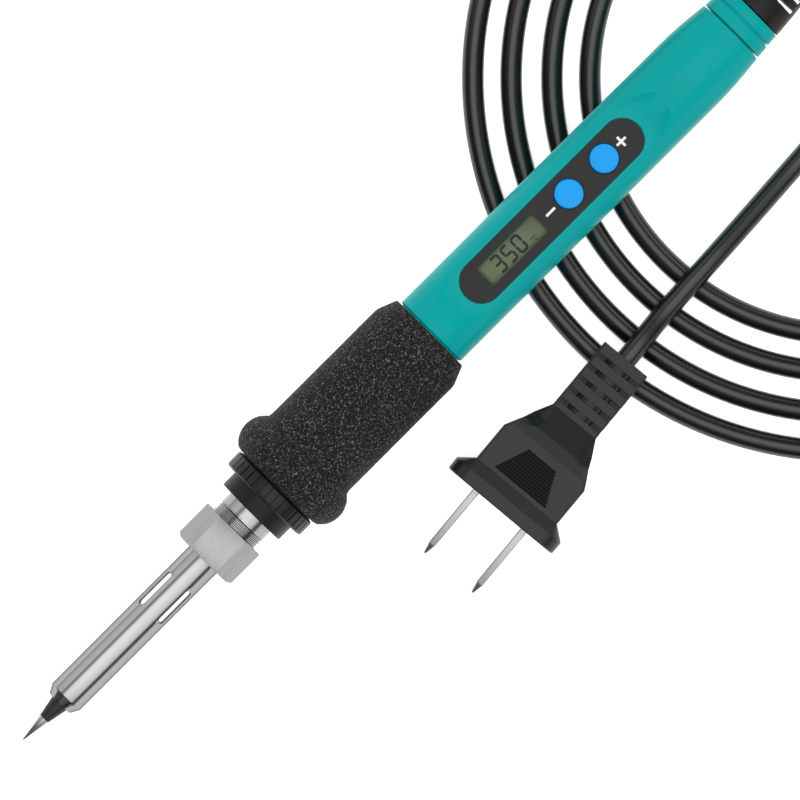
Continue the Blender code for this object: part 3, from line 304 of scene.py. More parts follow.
def make_moulded_skin():
    """Moulded plastic and rubber: a little drift in colour and gloss, and a fine spark-eroded skin."""
    group, given, made = new_group(
        "moulded_skin",
        [("Colour", "NodeSocketColor", (0.5, 0.5, 0.5, 1.0)), ("Drift", "NodeSocketFloat", 0.06),
         ("Roughness", "NodeSocketFloat", 0.4), ("Grain", "NodeSocketFloat", 3000.0),
         ("Relief", "NodeSocketFloat", 0.1)],
        [("Colour", "NodeSocketColor"), ("Roughness", "NodeSocketFloat"), ("Normal", "NodeSocketVector")],
    )
    place = add_node(group, "TexCoord")
    cloud = add_node(group, "TexNoise", Scale=60.0, Detail=3.0)
    grain = add_node(group, "TexNoise", Detail=2.0)
    wire(group, place, "Object", cloud, "Vector")
    wire(group, place, "Object", grain, "Vector")
    wire(group, given, "Grain", grain, "Scale")
    centred = add_node(group, "Math", operation="SUBTRACT")
    centred.inputs[1].default_value = 0.5
    wire(group, cloud, "Fac", centred, 0)
    drift = add_node(group, "Math", operation="MULTIPLY_ADD")
    drift.inputs[2].default_value = 1.0
    wire(group, centred, 0, drift, 0)
    wire(group, given, "Drift", drift, 1)
    tinted = add_node(group, "VectorMath", operation="SCALE")
    wire(group, given, "Colour", tinted, 0)
    wire(group, drift, 0, tinted, "Scale")
    gloss = add_node(group, "Math", operation="MULTIPLY")
    wire(group, given, "Roughness", gloss, 0)
    wire(group, drift, 0, gloss, 1)
    skin = add_node(group, "Bump", Distance=0.00004)
    wire(group, given, "Relief", skin, "Strength")
    wire(group, grain, "Fac", skin, "Height")
    wire(group, tinted, 0, made, "Colour")
    wire(group, gloss, 0, made, "Roughness")
    wire(group, skin, 0, made, "Normal")
    return group


MOULDED_SKIN = make_moulded_skin()


def moulded(name, colour, roughness=0.4, drift=0.10, grain=3000.0, relief=0.15, **sockets):
    """A moulded plastic or rubber with that skin."""
    material = new_material(name, colour, roughness, **sockets)
    tree = material.node_tree
    skin = add_node(tree, "Group")
    skin.node_tree = MOULDED_SKIN
    skin.inputs["Colour"].default_value = colour
    skin.inputs["Drift"].default_value = drift
    skin.inputs["Roughness"].default_value = roughness
    skin.inputs["Grain"].default_value = grain
    skin.inputs["Relief"].default_value = relief
    for socket in ("Colour", "Roughness", "Normal"):
        wanted = "Base Color" if socket == "Colour" else socket
        wire(tree, skin, socket, tree.nodes["Principled BSDF"], wanted)
    return material


CORD_VINYL = moulded("cord_vinyl", seen(8, 8, 9), 0.27, 0.15, 2400.0, 0.10, Specular_IOR_Level=0.55)
mains_cord.data.materials.append(CORD_VINYL)
nodes["cord_in_handle"].data.materials.clear()
nodes["cord_in_handle"].data.materials.append(CORD_VINYL)
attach(mains_cord, "handle")
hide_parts("cord_from_iron", "cord_coil", "cord_to_plug")


# ---------------------------------------------------------------------------------------------
# Soldering tip: a copper bit plated with iron. The working end is tinned bright, the rest of its
# cone is black where solder mustn't stick, and the barrel behind is bored for the heater.
# ---------------------------------------------------------------------------------------------
LATHE_SIDES = 128
CREASE = math.radians(30)


def apply_modifiers(piece):
    bpy.context.view_layer.objects.active = piece
    for modifier in list(piece.modifiers):
        bpy.ops.object.modifier_apply(modifier=modifier.name)


def turned(name, outline, sides=LATHE_SIDES):
    """Turns an outline round the iron's axis. The outline is a chain of (distance from the iron's
    point, radius)."""
    deselect()
    start, radius = outline[0]
    bpy.ops.mesh.primitive_plane_add(size=0.001, location=(POINT_X + start, 0.0, AXIS_Z + radius))
    piece = bpy.context.object
    piece.name = piece.data.name = name
    bpy.ops.object.mode_set(mode="EDIT")
    bpy.ops.mesh.select_mode(type="VERT")
    bpy.ops.mesh.merge(type="CENTER")
    for (x0, r0), (x1, r1) in zip(outline, outline[1:]):
        bpy.ops.mesh.extrude_region_move(TRANSFORM_OT_translate={"value": (x1 - x0, 0.0, r1 - r0)})
    bpy.ops.mesh.select_all(action="SELECT")
    bpy.ops.mesh.spin(steps=sides, angle=2 * math.pi, center=(0.0, 0.0, AXIS_Z), axis=(1.0, 0.0, 0.0))
    bpy.ops.mesh.select_all(action="SELECT")
    bpy.ops.mesh.remove_doubles(threshold=0.000002)
    bpy.ops.mesh.normals_make_consistent(inside=False)
    bpy.ops.object.mode_set(mode="OBJECT")
    bpy.ops.object.transform_apply(location=True, rotation=True, scale=True)
    return piece


def soften(piece, width, segments=2, angle=CREASE):
    """Rounds the edges that are sharper than the angle."""
    edge = piece.modifiers.new("edge", "BEVEL")
    edge.width = width
    edge.segments = segments
    edge.limit_method = "ANGLE"
    edge.angle_limit = angle
    apply_modifiers(piece)
    return piece


def cut(piece, cutter, operation="DIFFERENCE"):
    """Cuts the piece with another, or joins or keeps what they share, and removes the other."""
    saw = piece.modifiers.new("saw", "BOOLEAN")
    saw.object = cutter
    saw.operation = operation
    apply_modifiers(piece)
    bpy.data.objects.remove(cutter, do_unlink=True)
    return piece


def finish(piece, material, body, slot, *stands_for):
    """Shades the piece, gives it its material, hangs it on the body it rides on and hides the parts that it
    stands for.
    """
    deselect()
    piece.select_set(True)
    bpy.context.view_layer.objects.active = piece
    bpy.ops.object.shade_smooth_by_angle(angle=CREASE)
    piece.data.materials.clear()
    piece.data.materials.append(material)
    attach(piece, body)
    if stands_for:
        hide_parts(*stands_for)
    return piece


def make_drawn_metal():
    """Turned, ground or drawn metal: fine lines in one direction, in tone, gloss and height."""
    group, given, made = new_group(
        "drawn_metal",
        [("Colour", "NodeSocketColor", (0.6, 0.6, 0.6, 1.0)), ("Grain", "NodeSocketVector", (1.0, 1.0, 1.0)),
         ("Drift", "NodeSocketFloat", 0.1), ("Roughness", "NodeSocketFloat", 0.2),
         ("Relief", "NodeSocketFloat", 0.1)],
        [("Colour", "NodeSocketColor"), ("Roughness", "NodeSocketFloat"), ("Normal", "NodeSocketVector")],
    )
    place = add_node(group, "TexCoord")
    stretched = add_node(group, "VectorMath", operation="MULTIPLY")
    lines = add_node(group, "TexNoise", Scale=1.0, Detail=5.0, Roughness=0.65)
    wire(group, place, "Object", stretched, 0)
    wire(group, given, "Grain", stretched, 1)
    wire(group, stretched, 0, lines, "Vector")
    centred = add_node(group, "Math", operation="SUBTRACT")
    centred.inputs[1].default_value = 0.5
    wire(group, lines, "Fac", centred, 0)
    drift = add_node(group, "Math", operation="MULTIPLY_ADD")
    drift.inputs[2].default_value = 1.0
    wire(group, centred, 0, drift, 0)
    wire(group, given, "Drift", drift, 1)
    tinted = add_node(group, "VectorMath", operation="SCALE")
    wire(group, given, "Colour", tinted, 0)
    wire(group, drift, 0, tinted, "Scale")
    gloss = add_node(group, "Math", operation="MULTIPLY")
    wire(group, given, "Roughness", gloss, 0)
    wire(group, drift, 0, gloss, 1)
    skin = add_node(group, "Bump", Distance=0.00003)
    wire(group, given, "Relief", skin, "Strength")
    wire(group, lines, "Fac", skin, "Height")
    wire(group, tinted, 0, made, "Colour")
    wire(group, gloss, 0, made, "Roughness")
    wire(group, skin, 0, made, "Normal")
    return group


DRAWN_METAL = make_drawn_metal()


def drawn(name, colour, roughness, grain, drift=0.2, relief=0.1, metallic=1.0, **sockets):
    """A metal with lines in it. The grain says how closely they lie along X, Y and Z, per metre."""
    material = new_material(name, colour, roughness, metallic, **sockets)
    tree = material.node_tree
    skin = add_node(tree, "Group")
    skin.node_tree = DRAWN_METAL
    skin.inputs["Colour"].default_value = colour
    skin.inputs["Grain"].default_value = grain
    skin.inputs["Drift"].default_value = drift
    skin.inputs["Roughness"].default_value = roughness
    skin.inputs["Relief"].default_value = relief
    for socket in ("Colour", "Roughness", "Normal"):
        wanted = "Base Color" if socket == "Colour" else socket
        wire(tree, skin, socket, tree.nodes["Principled BSDF"], wanted)
    return material


CONE_END = 0.0107
CONE_R = 0.0021
TINNED_END = 0.00615
TINNED_R = CONE_R * TINNED_END / CONE_END
BARREL_R = 0.00315
HEATER_HOLE_R = 0.0022
tip_outline = [
    (0.0, 0.0), (0.00003, 0.00010), (0.00012, 0.00017), (TINNED_END - 0.00004, TINNED_R + 0.00004),
    (TINNED_END, TINNED_R), (TINNED_END + 0.00003, TINNED_R - 0.00002), (CONE_END, CONE_R),
    (0.0114, CONE_R), (0.0130, BARREL_R), (0.0360, BARREL_R), (0.0360, HEATER_HOLE_R),
    (0.0145, HEATER_HOLE_R), (0.0135, 0.0),
]
tip = turned("iron_tip", tip_outline)


def two_zone_tip():
    """Bright tin up to the tinned end, then a black plating. The join wanders a little."""
    material = drawn("tinned_and_black_plating", seen(176, 176, 175), 0.16, (2600.0, 240.0, 240.0),
                     0.30, 0.10)
    tree = material.node_tree
    shader = tree.nodes["Principled BSDF"]
    skin = shader.inputs["Base Color"].links[0].from_node
    place = add_node(tree, "TexCoord")
    along = add_node(tree, "SeparateXYZ")
    wander = add_node(tree, "TexNoise", Scale=700.0)
    wire(tree, place, "Object", along, 0)
    wire(tree, place, "Object", wander, "Vector")
    shifted = add_node(tree, "Math", operation="MULTIPLY_ADD")
    shifted.inputs[1].default_value = 0.00012
    wire(tree, wander, "Fac", shifted, 0)
    wire(tree, along, "X", shifted, 2)
    edge = POINT_X + TINNED_END + 0.00006
    plated = add_node(tree, "MapRange", From_Min=edge - 0.00003, From_Max=edge + 0.00003)
    wire(tree, shifted, 0, plated, "Value")
    colour = add_node(tree, "Mix", data_type="RGBA")
    colour.inputs[7].default_value = seen(30, 30, 31)
    wire(tree, plated, "Result", colour, 0)
    wire(tree, skin, "Colour", colour, 6)
    tree.links.new(colour.outputs[2], shader.inputs["Base Color"])
    rough = add_node(tree, "MapRange", To_Min=0.14, To_Max=0.42)
    wire(tree, plated, "Result", rough, "Value")
    wire(tree, rough, "Result", shader, "Roughness")
    metal = add_node(tree, "MapRange", To_Min=1.0, To_Max=0.35)
    wire(tree, plated, "Result", metal, "Value")
    wire(tree, metal, "Result", shader, "Metallic")
    return material


finish(tip, two_zone_tip(), "tip", "tip", "soldering_tip")

# ---------------------------------------------------------------------------------------------
# Tip sleeve: a polished stainless tube with a rolled nose that keeps the tip on its heater. Four
# slots let heat out, and its flared rim is trapped by the nut.
# ---------------------------------------------------------------------------------------------
SLEEVE_FRONT, SLEEVE_REAR = 0.0106, 0.0568
SLEEVE_R, SLEEVE_BORE_R = 0.0040, 0.0035
SLOT_FRONT, SLOT_REAR, SLOT_WIDTH = 0.0367, 0.0457, 0.0015
sleeve_outline = [
    (SLEEVE_FRONT, 0.00245), (SLEEVE_FRONT, 0.0028), (SLEEVE_FRONT + 0.00008, 0.00295),
    (SLEEVE_FRONT + 0.00165, 0.00385), (SLEEVE_FRONT + 0.0018, 0.00395), (SLEEVE_FRONT + 0.0020, SLEEVE_R),
    (0.0250, SLEEVE_R), (SLOT_FRONT - 0.0006, SLEEVE_R), (SLOT_REAR + 0.0006, SLEEVE_R),
    (SLEEVE_REAR - 0.0010, SLEEVE_R), (SLEEVE_REAR - 0.0010, 0.0055), (SLEEVE_REAR, 0.0055),
    (SLEEVE_REAR, SLEEVE_BORE_R), (SLOT_REAR + 0.0006, SLEEVE_BORE_R),
    (SLOT_FRONT - 0.0006, SLEEVE_BORE_R), (SLEEVE_FRONT + 0.0020, SLEEVE_BORE_R),
    (SLEEVE_FRONT + 0.0004, 0.00245), (SLEEVE_FRONT, 0.00245),
]
sleeve = turned("polished_sleeve", sleeve_outline)


def stadium_bar(name, front, rear, width, reach, middle=(0.0, 0.0, 0.0), sides=24):
    """An upright bar with round ends, between two distances from the iron's point."""
    deselect()
    length = rear - front
    place = (POINT_X + (front + rear) / 2 + middle[0], middle[1], AXIS_Z + middle[2])
    bpy.ops.mesh.primitive_cylinder_add(vertices=2 * sides, radius=width / 2, depth=2 * reach, location=place)
    bar = bpy.context.object
    bar.name = name
    bpy.ops.object.transform_apply(location=True, rotation=True, scale=True)
    for vertex in bar.data.vertices:
        if vertex.co.x > place[0] + 0.000001:
            vertex.co.x += length / 2 - width / 2
        elif vertex.co.x < place[0] - 0.000001:
            vertex.co.x -= length / 2 - width / 2
    return bar


def leaned(piece, degrees):
    """Turns a piece about the iron's axis."""
    turn = math.radians(degrees)
    for vertex in piece.data.vertices:
        across, up = vertex.co.y, vertex.co.z - AXIS_Z
        vertex.co.y = across * math.cos(turn) - up * math.sin(turn)
        vertex.co.z = AXIS_Z + across * math.sin(turn) + up * math.cos(turn)
    return piece


for lean in (45, -45):
    cut(sleeve, leaned(stadium_bar("slot", SLOT_FRONT, SLOT_REAR, SLOT_WIDTH, 2 * SLEEVE_R), lean))
soften(sleeve, 0.00008, 2, math.radians(40))
POLISHED_STEEL = drawn("polished_steel", seen(150, 150, 151), 0.17, (260.0, 1500.0, 1500.0), 0.12, 0.03,
                       Specular_Tint=(0.35, 0.35, 0.35, 1.0))
finish(sleeve, POLISHED_STEEL, "sleeve", "polished_steel", "tip_sleeve")

# ---------------------------------------------------------------------------------------------
# Retaining nut: a nickel-plated hexagon, cut from bar that was drawn with fine lines along it.
# Its front corners are turned off, and it is bored for the sleeve and for the socket's thread.
# ---------------------------------------------------------------------------------------------
NUT_FRONT, NUT_REAR, NUT_FLATS = 0.0523, 0.0611, 0.0130
NUT_CORNER_R = NUT_FLATS / math.sqrt(3)
NUT_FACE = NUT_FRONT + 0.0032
NUT_BORE_R = 0.00615
deselect()
bpy.ops.mesh.primitive_cylinder_add(
    vertices=6, radius=NUT_CORNER_R, depth=NUT_REAR - NUT_FRONT,
    location=(POINT_X + (NUT_FRONT + NUT_REAR) / 2, 0.0, AXIS_Z), rotation=(0.0, math.pi / 2, 0.0),
)
nut = bpy.context.object
nut.name = nut.data.name = "hexagon_nut"
bpy.ops.object.transform_apply(location=True, rotation=True, scale=True)
chamfers = turned("chamfers", [
    (NUT_FRONT - 0.0001, 0.0), (NUT_FRONT - 0.0001, 0.0065), (NUT_FRONT + 0.0007, NUT_CORNER_R + 0.0001),
    (NUT_REAR - 0.0002, NUT_CORNER_R + 0.0001), (NUT_REAR + 0.0001, 0.0072), (NUT_REAR + 0.0001, 0.0),
])
cut(nut, chamfers, "INTERSECT")
bore = turned("bore", [
    (NUT_FRONT - 0.001, 0.0), (NUT_FRONT - 0.001, SLEEVE_R + 0.0003), (NUT_FACE, SLEEVE_R + 0.0003),
    (NUT_FACE, NUT_BORE_R), (NUT_REAR + 0.001, NUT_BORE_R), (NUT_REAR + 0.001, 0.0),
])
cut(nut, bore)
soften(nut, 0.00012, 2, math.radians(40))
NUT_NICKEL = drawn("nut_nickel", seen(136, 136, 136), 0.30, (90.0, 3000.0, 3000.0), 1.1, 0.9)
finish(nut, NUT_NICKEL, "nut", "nickel", "retaining_nut")

# ---------------------------------------------------------------------------------------------
# Threaded socket: the nickel-plated tube that the nut screws onto. It has a rolled thread in
# front, a plain neck, and a rim inside the handle that the ring nut pulls against.
# ---------------------------------------------------------------------------------------------
SOCKET_FRONT, THREAD_REAR, SOCKET_RIM = 0.0571, 0.0633, 0.0724
THREAD_ROOT_R, NECK_R = 0.0055, 0.00575
THREAD_PITCH = 0.00068
RIM_R, SOCKET_BORE_R = 0.0086, 0.0044
socket = turned("socket_tube", [
    (SOCKET_FRONT, SOCKET_BORE_R), (SOCKET_FRONT, THREAD_ROOT_R - 0.0002),
    (SOCKET_FRONT + 0.0002, THREAD_ROOT_R), (THREAD_REAR, THREAD_ROOT_R), (THREAD_REAR + 0.0002, NECK_R),
    (SOCKET_RIM, NECK_R), (SOCKET_RIM, RIM_R), (SOCKET_RIM + 0.0010, RIM_R),
    (SOCKET_RIM + 0.0010, SOCKET_BORE_R), (SOCKET_FRONT, SOCKET_BORE_R),
])
deselect()
bpy.ops.mesh.primitive_plane_add(size=0.001, location=(POINT_X + SOCKET_FRONT, 0.0, AXIS_Z))
thread = bpy.context.object
thread.name = "thread"
bpy.ops.object.transform_apply(location=True)
bpy.ops.object.mode_set(mode="EDIT")
bpy.ops.mesh.merge(type="CENTER")
half_pitch = THREAD_PITCH / 2
bpy.ops.transform.translate(value=(0.0002, 0.0, THREAD_ROOT_R - 0.0001))
for along, out in ((half_pitch * 0.8, 0.00042), (half_pitch * 0.4, 0.0), (half_pitch * 0.8, -0.00042)):
    bpy.ops.mesh.extrude_region_move(TRANSFORM_OT_translate={"value": (along, 0.0, out)})
bpy.ops.mesh.select_all(action="SELECT")
bpy.ops.mesh.edge_face_add()
bpy.ops.object.mode_set(mode="OBJECT")
thread_turns = int((THREAD_REAR - SOCKET_FRONT) / THREAD_PITCH)
for vertex in thread.data.vertices:
    vertex.co.z -= AXIS_Z
helix = thread.modifiers.new("helix", "SCREW")
helix.axis = "X"
helix.steps = helix.render_steps = 72
helix.screw_offset = THREAD_PITCH
helix.iterations = thread_turns
helix.use_merge_vertices = False
apply_modifiers(thread)
for vertex in thread.data.vertices:
    vertex.co.z += AXIS_Z
deselect()
thread.select_set(True)
bpy.context.view_layer.objects.active = thread
bpy.ops.object.mode_set(mode="EDIT")
bpy.ops.mesh.select_all(action="SELECT")
bpy.ops.mesh.remove_doubles(threshold=0.000001)
bpy.ops.mesh.select_all(action="DESELECT")
bpy.ops.mesh.select_non_manifold(extend=False)
bpy.ops.mesh.edge_face_add()
bpy.ops.mesh.select_all(action="SELECT")
bpy.ops.mesh.normals_make_consistent(inside=False)
bpy.ops.object.mode_set(mode="OBJECT")
cut(socket, thread, "UNION")
NICKEL = drawn("turned_nickel", seen(148, 148, 148), 0.20, (5200.0, 160.0, 160.0), 0.25, 0.25)
finish(socket, NICKEL, "handle", "nickel", "threaded_socket")

# ---------------------------------------------------------------------------------------------
# Front collar and ring nut: black glass-filled nylon. The ring nut's ribs give a grip, and it
# screws back over the handle's neck and clamps the collar and the two half shells together.
# ---------------------------------------------------------------------------------------------
COLLAR_FRONT, COLLAR_RIM, COLLAR_R, COLLAR_BORE_R = 0.06605, 0.0711, 0.00805, 0.00605
collar = turned("nylon_collar", [
    (COLLAR_FRONT, COLLAR_BORE_R), (COLLAR_FRONT, COLLAR_R), (COLLAR_RIM, COLLAR_R), (COLLAR_RIM, RIM_R),
    (COLLAR_RIM + 0.0010, RIM_R), (COLLAR_RIM + 0.0010, COLLAR_BORE_R), (COLLAR_FRONT, COLLAR_BORE_R),
])
soften(collar, 0.00035, 4)
NYLON = moulded("black_nylon", seen(24, 24, 25), 0.40, 0.25, 2600.0, 0.35, Specular_IOR_Level=0.18)
finish(collar, NYLON, "handle", "black_plastic", "front_collar")

RING_FRONT, RIBS_REAR, RING_REAR = 0.0696, 0.0733, 0.0790
RING_R, SKIRT_R, RING_BORE_R = 0.0104, 0.0096, 0.0089
RIB_COUNT, SIDES_PER_RIB, RIB_DEPTH = 36, 6, 0.00045
ring = turned("ribbed_ring", [
    (RING_FRONT, COLLAR_R + 0.0003), (RING_FRONT, RING_R - 0.0004), (RING_FRONT + 0.0004, RING_R),
    (RIBS_REAR - 0.0003, RING_R), (RIBS_REAR, RING_R - 0.0003), (RIBS_REAR, SKIRT_R), (RING_REAR, SKIRT_R),
    (RING_REAR, RING_BORE_R), (RING_FRONT + 0.0012, RING_BORE_R), (RING_FRONT + 0.0012, COLLAR_R + 0.0003),
    (RING_FRONT, COLLAR_R + 0.0003),
], RIB_COUNT * SIDES_PER_RIB)
bpy.ops.object.mode_set(mode="EDIT")
bpy.ops.mesh.select_mode(type="FACE")
bpy.ops.mesh.select_all(action="DESELECT")
bpy.ops.object.mode_set(mode="OBJECT")
rib_step = 2 * math.pi / RIB_COUNT
for face in ring.data.polygons:
    across, up = face.center.y, face.center.z - AXIS_Z
    outside = math.hypot(across, up) > RING_R - 0.0001
    in_groove = math.atan2(across, up) % rib_step < rib_step / SIDES_PER_RIB
    face.select = outside and in_groove and face.area > 0.0000003
bpy.ops.object.mode_set(mode="EDIT")
bpy.ops.mesh.extrude_region_shrink_fatten(TRANSFORM_OT_shrink_fatten={"value": -RIB_DEPTH})
bpy.ops.object.mode_set(mode="OBJECT")
soften(ring, 0.00006, 2)
RING_NYLON = moulded("ribbed_nylon", seen(19, 19, 20), 0.34, 0.25, 2600.0, 0.30, Specular_IOR_Level=0.25)
finish(ring, RING_NYLON, "ring", "black_plastic", "ring_nut")

# ---------------------------------------------------------------------------------------------
# Foam grip: a sleeve of closed-cell foam with a fat bead in front of the fingers. Its skin is
# matt black with fine pale flecks, and small dimples where the cells were cut open.
# ---------------------------------------------------------------------------------------------
FOAM_FRONT, FOAM_REAR = 0.0736, 0.1179
FOAM_R, FOAM_REAR_R, FOAM_CHAMFER = 0.01115, 0.0095, 0.0043
BEAD_R, BEAD_ARC_R, BEAD_LENGTH, BEAD_STEPS = 0.0135, 0.0055, 0.0092, 28
FOAM_BORE_R, FOAM_COUNTERBORE_R, FOAM_STEP = 0.0083, 0.0099, 0.0793
bead_middle = FOAM_FRONT + BEAD_LENGTH / 2
bead_centre_r = BEAD_R - BEAD_ARC_R
bead_start = math.acos(-(BEAD_LENGTH / 2 - 0.0002) / BEAD_ARC_R)
foam_outline = [(FOAM_FRONT, FOAM_COUNTERBORE_R), (FOAM_FRONT, 0.0105)]
for i in range(BEAD_STEPS + 1):
    angle = bead_start - (2 * bead_start - math.pi) * i / BEAD_STEPS
    foam_outline.append((bead_middle + BEAD_ARC_R * math.cos(angle),
                         bead_centre_r + BEAD_ARC_R * math.sin(angle)))
bead_end = foam_outline[-1]
foam_outline += [(bead_end[0] + 0.0003, FOAM_R + 0.00012), (bead_end[0] + 0.0008, FOAM_R)]
for i in range(1, 40):
    foam_outline.append((bead_end[0] + 0.0008 + (FOAM_REAR - FOAM_CHAMFER - bead_end[0] - 0.0014) * i / 40,
                         FOAM_R))
foam_outline += [
    (FOAM_REAR - FOAM_CHAMFER - 0.0006, FOAM_R), (FOAM_REAR - FOAM_CHAMFER, FOAM_R - 0.00004),
    (FOAM_REAR - FOAM_CHAMFER + 0.0006, FOAM_R - 0.0002), (FOAM_REAR - 0.0003, FOAM_REAR_R + 0.0001),
    (FOAM_REAR, FOAM_REAR_R - 0.0002), (FOAM_REAR, FOAM_BORE_R), (FOAM_STEP, FOAM_BORE_R),
    (FOAM_STEP, FOAM_COUNTERBORE_R), (FOAM_FRONT, FOAM_COUNTERBORE_R),
]
foam = turned("foam_sleeve", foam_outline, 192)
cells = bpy.data.textures.new("foam_cells", "CLOUDS")
cells.noise_scale = 0.0011
cells.noise_depth = 3
pitted = foam.modifiers.new("pitted", "DISPLACE")
pitted.texture = cells
pitted.texture_coords = "LOCAL"
pitted.strength = 0.00016
pitted.mid_level = 0.5
apply_modifiers(foam)


def foam_skin():
    material = new_material("foam_skin", seen(50, 50, 50), 0.70, Specular_IOR_Level=0.12)
    tree = material.node_tree
    shader = tree.nodes["Principled BSDF"]
    place = add_node(tree, "TexCoord")
    warp = add_node(tree, "TexNoise", Scale=1500.0, Detail=2.0)
    wire(tree, place, "Object", warp, "Vector")
    bent = add_node(tree, "VectorMath", operation="MULTIPLY_ADD")
    bent.inputs[1].default_value = (0.0009, 0.0009, 0.0009)
    wire(tree, warp, "Color", bent, 0)
    wire(tree, place, "Object", bent, 2)
    flecks = add_node(tree, "TexNoise", Scale=2500.0, Detail=2.5, Roughness=0.6)
    wire(tree, bent, 0, flecks, "Vector")
    tone = add_node(tree, "ValToRGB")
    tone.color_ramp.elements[0].position = 0.42
    tone.color_ramp.elements[0].color = seen(21, 21, 21)
    tone.color_ramp.elements[1].position = 0.57
    tone.color_ramp.elements[1].color = seen(43, 43, 43)
    tone.color_ramp.elements.new(0.66).color = seen(114, 114, 114)
    wire(tree, flecks, "Fac", tone, "Fac")
    wire(tree, tone, "Color", shader, "Base Color")
    bump = add_node(tree, "Bump", Strength=0.8, Distance=0.00012)
    wire(tree, flecks, "Fac", bump, "Height")
    wire(tree, bump, "Normal", shader, "Normal")
    return material


finish(foam, foam_skin(), "handle", "foam", "foam_grip")

# ---------------------------------------------------------------------------------------------
# Handle: two half shells of teal ABS that meet at the axis height. Their front is a thin neck
# under the foam, their tail tapers to a spigot, and the ring nut and the tail ring clamp them.
# ---------------------------------------------------------------------------------------------
NECK_FRONT, NECK_STEP_AT = 0.0737, 0.0787
BODY_FRONT, TAPER_FRONT, BODY_REAR, SPIGOT_REAR = 0.1182, 0.1958, 0.2051, 0.2083
HANDLE_R, HANDLE_BORE_R, SHELL_NECK_R, NECK_BORE_R = 0.00855, 0.00705, 0.0080, 0.0065
TAIL_R, SPIGOT_R, SPIGOT_BORE_R = 0.00775, 0.0060, 0.0049
FLAT_Z, PANEL_TOP, PANEL_BASE, RECESS_Z, INNER_FLAT_Z = 0.0066, 0.00675, 0.00625, 0.00595, 0.0047
DISH_FRONT, DISH_REAR, DISH_RAMP = 0.1210, 0.1861, 0.0044
PANEL_FRONT, PANEL_REAR, PANEL_WIDTH = 0.1284, 0.1780, 0.00886
WINDOW_FRONT, WINDOW_REAR, WINDOW_WIDTH, LENS_LAP = 0.1339, 0.1499, 0.0050, 0.0007
BUTTON_STATIONS = {"minus": 0.1581, "plus": 0.1683}
BUTTON_R, HOLE_R = 0.0030, 0.0033
SEAM = 0.00003

TEAL_ABS = moulded("teal_abs", seen(0, 168, 167), 0.32, 0.08, 1500.0, 0.12, Specular_IOR_Level=0.08)


def box_between(name, low, high):
    """A block between two corners, given as (distance from the point, across, height over the axis)."""
    deselect()
    middle = [(a + b) / 2 for a, b in zip(low, high)]
    bpy.ops.mesh.primitive_cube_add(size=1.0, location=(POINT_X + middle[0], middle[1], AXIS_Z + middle[2]))
    block = bpy.context.object
    block.name = name
    block.scale = [b - a for a, b in zip(low, high)]
    bpy.ops.object.transform_apply(location=True, rotation=True, scale=True)
    return block


def joined(pieces, name):
    """Several pieces made one object."""
    deselect()
    for piece in pieces:
        piece.select_set(True)
    bpy.context.view_layer.objects.active = pieces[0]
    bpy.ops.object.join()
    pieces[0].name = pieces[0].data.name = name
    return pieces[0]


def dish_cutter():
    """A scoop with a flat floor and round ends that ramp up to the handle's skin."""
    half_width = math.sqrt(HANDLE_R ** 2 - FLAT_Z ** 2)
    rise = HANDLE_R - FLAT_Z + 0.001
    floor_ends = DISH_FRONT + DISH_RAMP, DISH_REAR - DISH_RAMP
    scoop = stadium_bar("scoop", *floor_ends, 2 * half_width, rise / 2, (0.0, 0.0, FLAT_Z + rise / 2), 48)
    middle = POINT_X + sum(floor_ends) / 2
    straight = (floor_ends[1] - floor_ends[0]) / 2 - half_width
    spread = DISH_RAMP * rise / (rise - 0.001)
    for vertex in scoop.data.vertices:
        if vertex.co.z > AXIS_Z + FLAT_Z + rise / 2:
            centre = Vector((middle + math.copysign(straight, vertex.co.x - middle), 0.0, vertex.co.z))
            rounded = abs(vertex.co.x - middle) > straight
            out = vertex.co - centre if rounded else Vector((0.0, vertex.co.y, 0.0))
            vertex.co += out.normalized() * spread
    return scoop


def whole_shell(name):
    knee = TAPER_FRONT + 0.46 * (BODY_REAR - TAPER_FRONT)
    knee_r = HANDLE_R - 0.34 * (HANDLE_R - TAIL_R)
    return turned(name, [
        (NECK_FRONT, NECK_BORE_R), (NECK_FRONT, RIM_R), (NECK_STEP_AT, RIM_R), (NECK_STEP_AT, SHELL_NECK_R),
        (BODY_FRONT, SHELL_NECK_R), (BODY_FRONT, HANDLE_R - 0.0003), (BODY_FRONT + 0.0003, HANDLE_R),
        (TAPER_FRONT - 0.0025, HANDLE_R), (TAPER_FRONT, HANDLE_R - 0.00004),
        (knee - 0.0015, knee_r + 0.00009),
        (knee + 0.0015, knee_r - 0.00018), (BODY_REAR - 0.0002, TAIL_R), (BODY_REAR, TAIL_R - 0.0002),
        (BODY_REAR, SPIGOT_R), (SPIGOT_REAR, SPIGOT_R), (SPIGOT_REAR, SPIGOT_BORE_R),
        (BODY_REAR - 0.0015, SPIGOT_BORE_R), (TAPER_FRONT, HANDLE_BORE_R),
        (BODY_FRONT + 0.0015, HANDLE_BORE_R),
        (BODY_FRONT + 0.0015, NECK_BORE_R), (NECK_FRONT, NECK_BORE_R),
    ])


